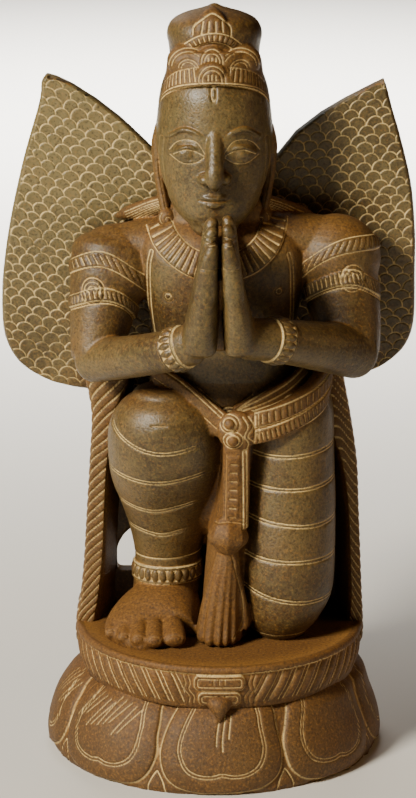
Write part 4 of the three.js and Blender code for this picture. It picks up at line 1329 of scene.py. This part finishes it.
def face(surface):
    """Fine lines of the face: lid creases, brows, irises, the parting of the lips, and the ears."""
    for side, name in ((-1, "left"), (1, "right")):
        eye, ear = f"{name}_eye", f"{name}_ear"
        lids = (eye, "skull", f"{name}_lid", f"{name}_brow")
        under = (*lids, f"{name}_underlid")
        for points, names, width, depth, dust in (
            ([(5.5, 294), (10, 300.2), (16, 301.6), (22, 299.4), (26, 294.5)], lids, 1.0, 0.35, 0.75),
            ([(6, 291.6), (11.5, 288.4), (18.5, 288), (25.5, 291.8)], under, 1.0, 0.35, 0.8),
            ([(6, 292.6), (10.5, 295), (16, 296), (21, 294.4), (25, 291.8)], lids, 1.0, 0.35, 0.8),
            ([(4.5, 303), (10, 307.4), (18, 309), (26.5, 303.8)], lids, 0.9, 0.3, 0.5),
        ):
            surface.engrave(curve(sided(side, points), 20), *names, width=width, depth=depth, dust=dust)
        iris = arc((side * 14.8, 293), 3.3, 3.4, -2.9, -0.2, 16)
        surface.engrave(iris, eye, width=0.9, depth=0.22, dust=0.3)
        curl = sided(side, arc((27.6, 250.5), 0.6, 0.6, 0, 7.2, 60, grow=0.6))
        surface.engrave(curl, f"{ear}_ring", ear, width=1.0, depth=0.6, dust=0.7)
        lobe = sided(side, [(30.4, 300), (31.2, 290), (30.6, 279), (28.6, 266), (27, 258)])
        surface.engrave(curve(lobe, 20), ear, "skull", "hair", facing=-0.3, double=2.6, width=1.0, depth=0.5,
                        dust=0.6)
    parting = [(-9.2, 267.4), (-4, 266.3), (0, 266.6), (4, 266.3), (9.2, 267.4)]
    surface.engrave(parting, "upper_lip", "lower_lip", "skull", width=1.0, depth=0.55, dust=0.45)


def crown(surface):
    """The engraved ornaments of the crown."""
    rim = [(-180, 310.5), (-90, 311.5), (-78, 319.5), (-55, 327.3), (-30, 332), (0, 334), (30, 332),
           (55, 327.3), (78, 319.5), (90, 311.5)]
    surface.hoop((0, -4, 0), rim, "diadem", "skull", double=2.0, width=1.0)
    points, height, angle = surface.girdle((0, -4, 0), rim, "diadem")
    beside = np.abs(angle) > 14
    radius = 35.0
    flute = np.radians(from_nearest(angle - 0.54 * height * np.sign(angle), 5.6)) * radius
    surface.cut(points, np.where(beside & (height > 2.0) & (height < 9.4), flute, AWAY), 1.1, 0.8, 1.0)
    surface.cut(points, np.where(beside, height - 9.6, AWAY), 1.0, 0.5, 0.8)
    middle = -1.5
    for x, leaf in ((-14.8, "left_leaf"), (14.4, "right_leaf")):
        for wide, high in ((11.6, 11.4), (9.8, 9.6), (5.8, 5.4), (4.2, 3.8)):
            line = [p for p in arc((x, 340.4), wide, high, 0.1, math.pi - 0.1) if abs(p[0] - middle) > 7.4]
            surface.engrave(line, leaf, "drum", "diadem", width=0.95, depth=0.5, dust=0.8)
    for form, z, wide, high, stroke in (
        ("low_medallion", 335, 7.6, 8.4, 3.4), ("high_medallion", 344.5, 6.2, 7.2, 2.8),
    ):
        for size in (1.0, 0.72):
            line = arc((middle, z), wide * size, high * size, -0.1, math.pi + 0.1, 26)
            surface.engrave(line, form, "diadem", "skull", "drum", width=1.0, depth=0.6, dust=0.85)
        for x in (middle - 2.2, middle, middle + 2.2):
            surface.engrave([(x, z + 0.5), (x, z + stroke)], form, "diadem", width=1.0, depth=0.5)
    bow = curve([(-16, 351), (-9, 355.6), (-1, 357.6), (7, 356.2), (14, 351)], 30)
    surface.ribbon(bow, 2.6, "arc", "drum", "panel", pitch=2.9, height=0.5, ribs=1.0)
    outline = curve([(-12.6, 358.8), (-12, 363.6), (-7.5, 367.5), (-1.4, 371), (4.5, 367.8), (8.8, 363.8),
                     (9.4, 358.8)], 36)
    surface.engrave(outline, "panel", "drum", "arc", facing=0.0, width=1.1)
    for x in (-7.6, -3.6, 0.8, 5.0):
        surface.engrave([(x, 359.5), (x * 0.85, 366.5)], "panel", facing=0.0, width=1.2, depth=0.7)
    for x in (-1.9, 1.1):
        stroke = [(x - 0.4, 331), (x, 326), (x * 0.4 - 0.2, 322.6)]
        surface.engrave(stroke, "skull", "diadem", width=1.0, depth=0.4, dust=0.5)
    surface.ball((-0.4, 327.5), (1.3, 3.4), 0.6, "skull", "diadem")


# The stone
class Value:
    """A socket of a material's nodes, so that its maths reads as plain expressions."""

    def __init__(self, tree, socket):
        self.tree = tree
        self.socket = socket

    def maths(self, operation, *others, clamp=False):
        node = self.tree.nodes.new("ShaderNodeMath")
        node.operation = operation
        node.use_clamp = clamp
        for place, value in zip(node.inputs, (self, *others)):
            if isinstance(value, Value):
                self.tree.links.new(value.socket, place)
            else:
                place.default_value = value
        return Value(self.tree, node.outputs[0])

    def __add__(self, other):
        return self.maths("ADD", other)

    __radd__ = __add__

    def __mul__(self, other):
        return self.maths("MULTIPLY", other)

    __rmul__ = __mul__

    def __sub__(self, other):
        return self.maths("SUBTRACT", other)

    def __rsub__(self, other):
        return (self * -1) + other

    def clear(self):
        """Kept between 0 and 1."""
        return self.maths("ADD", 0.0, clamp=True)


class Finish:
    """One material and the few kinds of node that it is made of."""

    def __init__(self, name):
        self.material = bpy.data.materials.new(name)
        self.material.use_nodes = True
        self.tree = self.material.node_tree
        self.shader = self.tree.nodes["Principled BSDF"]

    def node(self, kind, settings=None, inputs=None, output=0):
        made = self.tree.nodes.new(kind)
        for key, value in (settings or {}).items():
            setattr(made, key, value)
        for key, value in (inputs or {}).items():
            self.feed(made.inputs[key], value)
        return Value(self.tree, made.outputs[output])

    def feed(self, socket, value):
        if isinstance(value, Value):
            self.tree.links.new(value.socket, socket)
        else:
            socket.default_value = value

    def attribute(self, name):
        return self.node("ShaderNodeAttribute", {"attribute_name": name}, output="Fac")

    def noise(self, where, size, detail=4.0, roughness=0.55):
        """Cloudy noise from about 0 to 1 with patches of the given size in millimetres."""
        scale = 1 / (size * MM)
        return self.node("ShaderNodeTexNoise", None, {
            "Vector": where, "Scale": scale, "Detail": detail, "Roughness": roughness,
        })

    def mix(self, factor, first, second):
        return self.node("ShaderNodeMix", {"data_type": "RGBA"}, {0: factor, 6: first, 7: second}, 2)

    def step(self, value, start, end):
        """Goes smoothly from 0 at start to 1 at end."""
        return self.node("ShaderNodeMapRange", {"interpolation_type": "SMOOTHSTEP"}, {
            "Value": value, "From Min": start, "From Max": end,
        })


def colour(red, green, blue):
    """A colour given as it looks on a screen, from 0 to 255, for a node's socket."""
    parts = [c / 255 for c in (red, green, blue)]
    linear = [c / 12.92 if c <= 0.04045 else ((c + 0.055) / 1.055) ** 2.4 for c in parts]
    return (*linear, 1.0)


def stone_finish():
    """Dark olive stone: rubbed grey where hands reach, which also serves as a painted sheen on exposed parts,
    painted light that makes the wings lighter, painted shade that darkens recesses, brown dust in recesses,
    with pale dust in every cut.
    """
    finish = Finish("dark_stone")
    where = finish.node("ShaderNodeTexCoord", output="Object")
    dust, hollow, basin, free, rough, upward = (
        finish.attribute(name) for name in ("dust", "hollow", "basin", "open", "rough", "up")
    )
    aside, depth, height = (
        finish.node("ShaderNodeSeparateXYZ", None, {"Vector": where}, axis) for axis in ("X", "Y", "Z")
    )
    clouds = finish.noise(where, 60, 3)
    patches = finish.noise(where, 14, 5)
    mottle = finish.noise(where, 3.2, 6, 0.65)
    grain = finish.noise(where, 1.5, 2, 0.6)

    low = 1 - finish.step(height, 0.05, 0.36)
    # Painted light: the wings are made lighter and greyer as if the lamp fell full on them, and the right
    # wing, which lies in shade, much less
    painted_wing_light = finish.step(depth, 0.012, 0.022) * finish.step(height, 0.19, 0.34)
    painted_wing_light = painted_wing_light * (1 - finish.step(aside, 0.0, 0.09) * 0.7)

    olive = colour(88, 74, 38)
    dark = colour(46, 29, 9)
    brown = colour(105, 66, 12)
    ochre = colour(158, 110, 42)
    grey = colour(116, 104, 68)
    tan = colour(236, 208, 142)

    stone = finish.mix(finish.step(mottle, 0.3, 0.75), dark, olive)
    # Grey where the stone is rubbed smooth, which also serves as a painted sheen on the open, exposed parts
    rubbed_and_sheen = (finish.step(free, 0.6, 0.95) * finish.step(clouds, 0.35, 0.65)).clear()
    stone = finish.mix((rubbed_and_sheen * 0.5 + painted_wing_light * 0.75).clear(), stone, grey)
    resting = rough + finish.step(upward, 0.15, 0.9) * 0.3 + finish.step(basin, 0.05, 0.8) * 0.3 + low * 0.25
    powder = (resting + (clouds - 0.5) * 0.9 + (patches - 0.5) * 0.6).clear()
    # Painted shade: darker where little of the space in front of the stone is free, in recesses and between
    # parts
    stone = finish.mix((1 - finish.step(free, 0.15, 0.75)) * 0.65, stone, dark)
    stone = finish.mix(powder * 0.85, stone, brown)
    plinth = 1 - finish.step(height, 0.05, 0.08)
    stone = finish.mix(plinth * 0.28, stone, dark)
    settled = (finish.step(hollow, 0.04, 0.35) * 0.4).clear()
    stone = finish.mix(settled, stone, ochre)
    worn = 0.8 + (patches - 0.5) * 1.1 + (mottle - 0.5) * 0.8
    uneven = (finish.step(dust, 0.42, 0.95) * worn).clear() * 0.8
    stone = finish.mix(uneven, stone, tan)
    stone = finish.mix(finish.step(grain, 0.52, 0.72) * (0.26 + powder * 0.12), stone, ochre)
    stone = finish.mix((1 - finish.step(grain, 0.3, 0.5)) * 0.6, stone, dark)
    finish.feed(finish.shader.inputs["Base Color"], stone)

    matt = 0.44 + powder * 0.32 + uneven * 0.25 - rubbed_and_sheen * 0.1 + (mottle - 0.5) * 0.2
    finish.feed(finish.shader.inputs["Roughness"], matt.clear())
    finish.shader.inputs["Specular IOR Level"].default_value = 0.5
    relief = grain * 0.5 + mottle * 0.5
    bump = finish.node("ShaderNodeBump", None, {"Strength": 0.5, "Distance": 1.1 * MM, "Height": relief})
    finish.feed(finish.shader.inputs["Normal"], bump)
    return finish.material


# Stage and light, in metres
FIGURE_MIDDLE = 0.22
FLOOR_HALF_SIZE = 12.0


def stage():
    """The pale floor."""
    bm = bmesh.new()
    bmesh.ops.create_grid(bm, x_segments=1, y_segments=1, size=FLOOR_HALF_SIZE)
    floor = placed("floor", meshed(bm, "floor"))
    pale = Finish("pale_floor")
    pale.shader.inputs["Base Color"].default_value = (0.66, 0.64, 0.6, 1)
    pale.shader.inputs["Roughness"].default_value = 0.9
    floor.data.materials.append(pale.material)


def lamp(name, place, size, power, tint, target=(0, 0, FIGURE_MIDDLE), spread=180):
    """A round lamp that shines at a target. Places are in metres, power in watts."""
    light = bpy.data.lights.new(name, "AREA")
    light.shape = "DISK"
    light.size = size
    light.energy = power
    light.color = tint
    light.spread = math.radians(spread)
    obj = placed(name, light)
    obj.location = place
    obj.rotation_euler = (Vector(target) - Vector(place)).to_track_quat("-Z", "Y").to_euler()
    obj.visible_camera = False


def lights():
    """A key light from the left, weak ones behind and at the right, and one for the floor that fills the
    background."""
    lamp("key", (-1.44, -1.39, 1.5), 0.6, 110, (1.0, 0.93, 0.79))
    lamp("back", (-0.8, 1.9, 1.5), 1.0, 9, (1.0, 0.97, 0.92))
    lamp("fill", (1.8, -0.35, 0.9), 0.8, 5, (1.0, 0.56, 0.24))
    lamp("floor_light", (0, 2.3, 2.6), 1.4, 150, (1.0, 0.98, 0.94), target=(0, 2.4, 0), spread=84)
    world = bpy.data.worlds.new("studio")
    world.use_nodes = True
    world.node_tree.nodes["Background"].inputs["Color"].default_value = (1, 0.99, 0.97, 1)
    world.node_tree.nodes["Background"].inputs["Strength"].default_value = 0.01
    bpy.context.scene.world = world


# The camera: its place in millimetres, how far it looks down in degrees, and its lens
CAMERA_DISTANCE = 1500.0
CAMERA_HEIGHT = 632.1
CAMERA_SIDE = -3.7
CAMERA_PITCH = 15.563
LENS = 117.6
SENSOR = 36.0


def camera():
    """Looks at the figure from the front and a little from above."""
    view = bpy.data.cameras.new("camera")
    view.lens = LENS
    view.sensor_width = SENSOR
    obj = placed("camera", view)
    obj.location = (CAMERA_SIDE * MM, -CAMERA_DISTANCE * MM, CAMERA_HEIGHT * MM)
    obj.rotation_euler = (math.radians(90 - CAMERA_PITCH), 0, 0)
    bpy.context.scene.camera = obj


# The most triangles that a piece may keep, for all pieces but the small leaf
MOST_FACES = {
    "lotus_plinth": 80000, "feather_platform": 66000, "mantle": 34000, "left_strip": 30000,
    "right_strip": 30000, "left_wing": 108000, "right_wing": 108000, "legs": 178000,
    "torso_and_arms": 184000, "head": 174000,
}


def thinned(obj, most):
    """Merges faces where the stone is plain until most triangles are left."""
    count = sum(len(face.vertices) - 2 for face in obj.data.polygons)
    if count <= most:
        return
    thin = obj.modifiers.new("thin", "DECIMATE")
    thin.ratio = most / count
    ready = obj.evaluated_get(bpy.context.evaluated_depsgraph_get())
    mesh = bpy.data.meshes.new_from_object(ready)
    obj.modifiers.clear()
    obj.data = mesh
    mesh.polygons.foreach_set("use_smooth", np.ones(len(mesh.polygons), bool))


def place(surface, stone, occluder):
    """Finishes a carved piece, gives it the stone and lets it ride on the body."""
    obj = placed(surface.name, surface.worn(occluder))
    if surface.name in MOST_FACES:
        thinned(obj, MOST_FACES[surface.name])
    obj.data.materials.append(stone)
    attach(obj, "root")
    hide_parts("garuda_figure")


PIECES = [
    lotus_plinth, feather_platform, leaf_tip, mantle,
    lambda: strip("left_strip", LEFT_STRIP, -1),
    lambda: strip("right_strip", RIGHT_STRIP, 1),
    lambda: wing("left_wing", LEFT_OUTER, LEFT_INNER, -1),
    lambda: wing("right_wing", RIGHT_OUTER, RIGHT_INNER, 1),
    legs, torso_and_arms, head,
]
stone = stone_finish()
occluder = occluder_tree()
for carve in PIECES:
    place(carve(), stone, occluder)
stage()
lights()
camera()
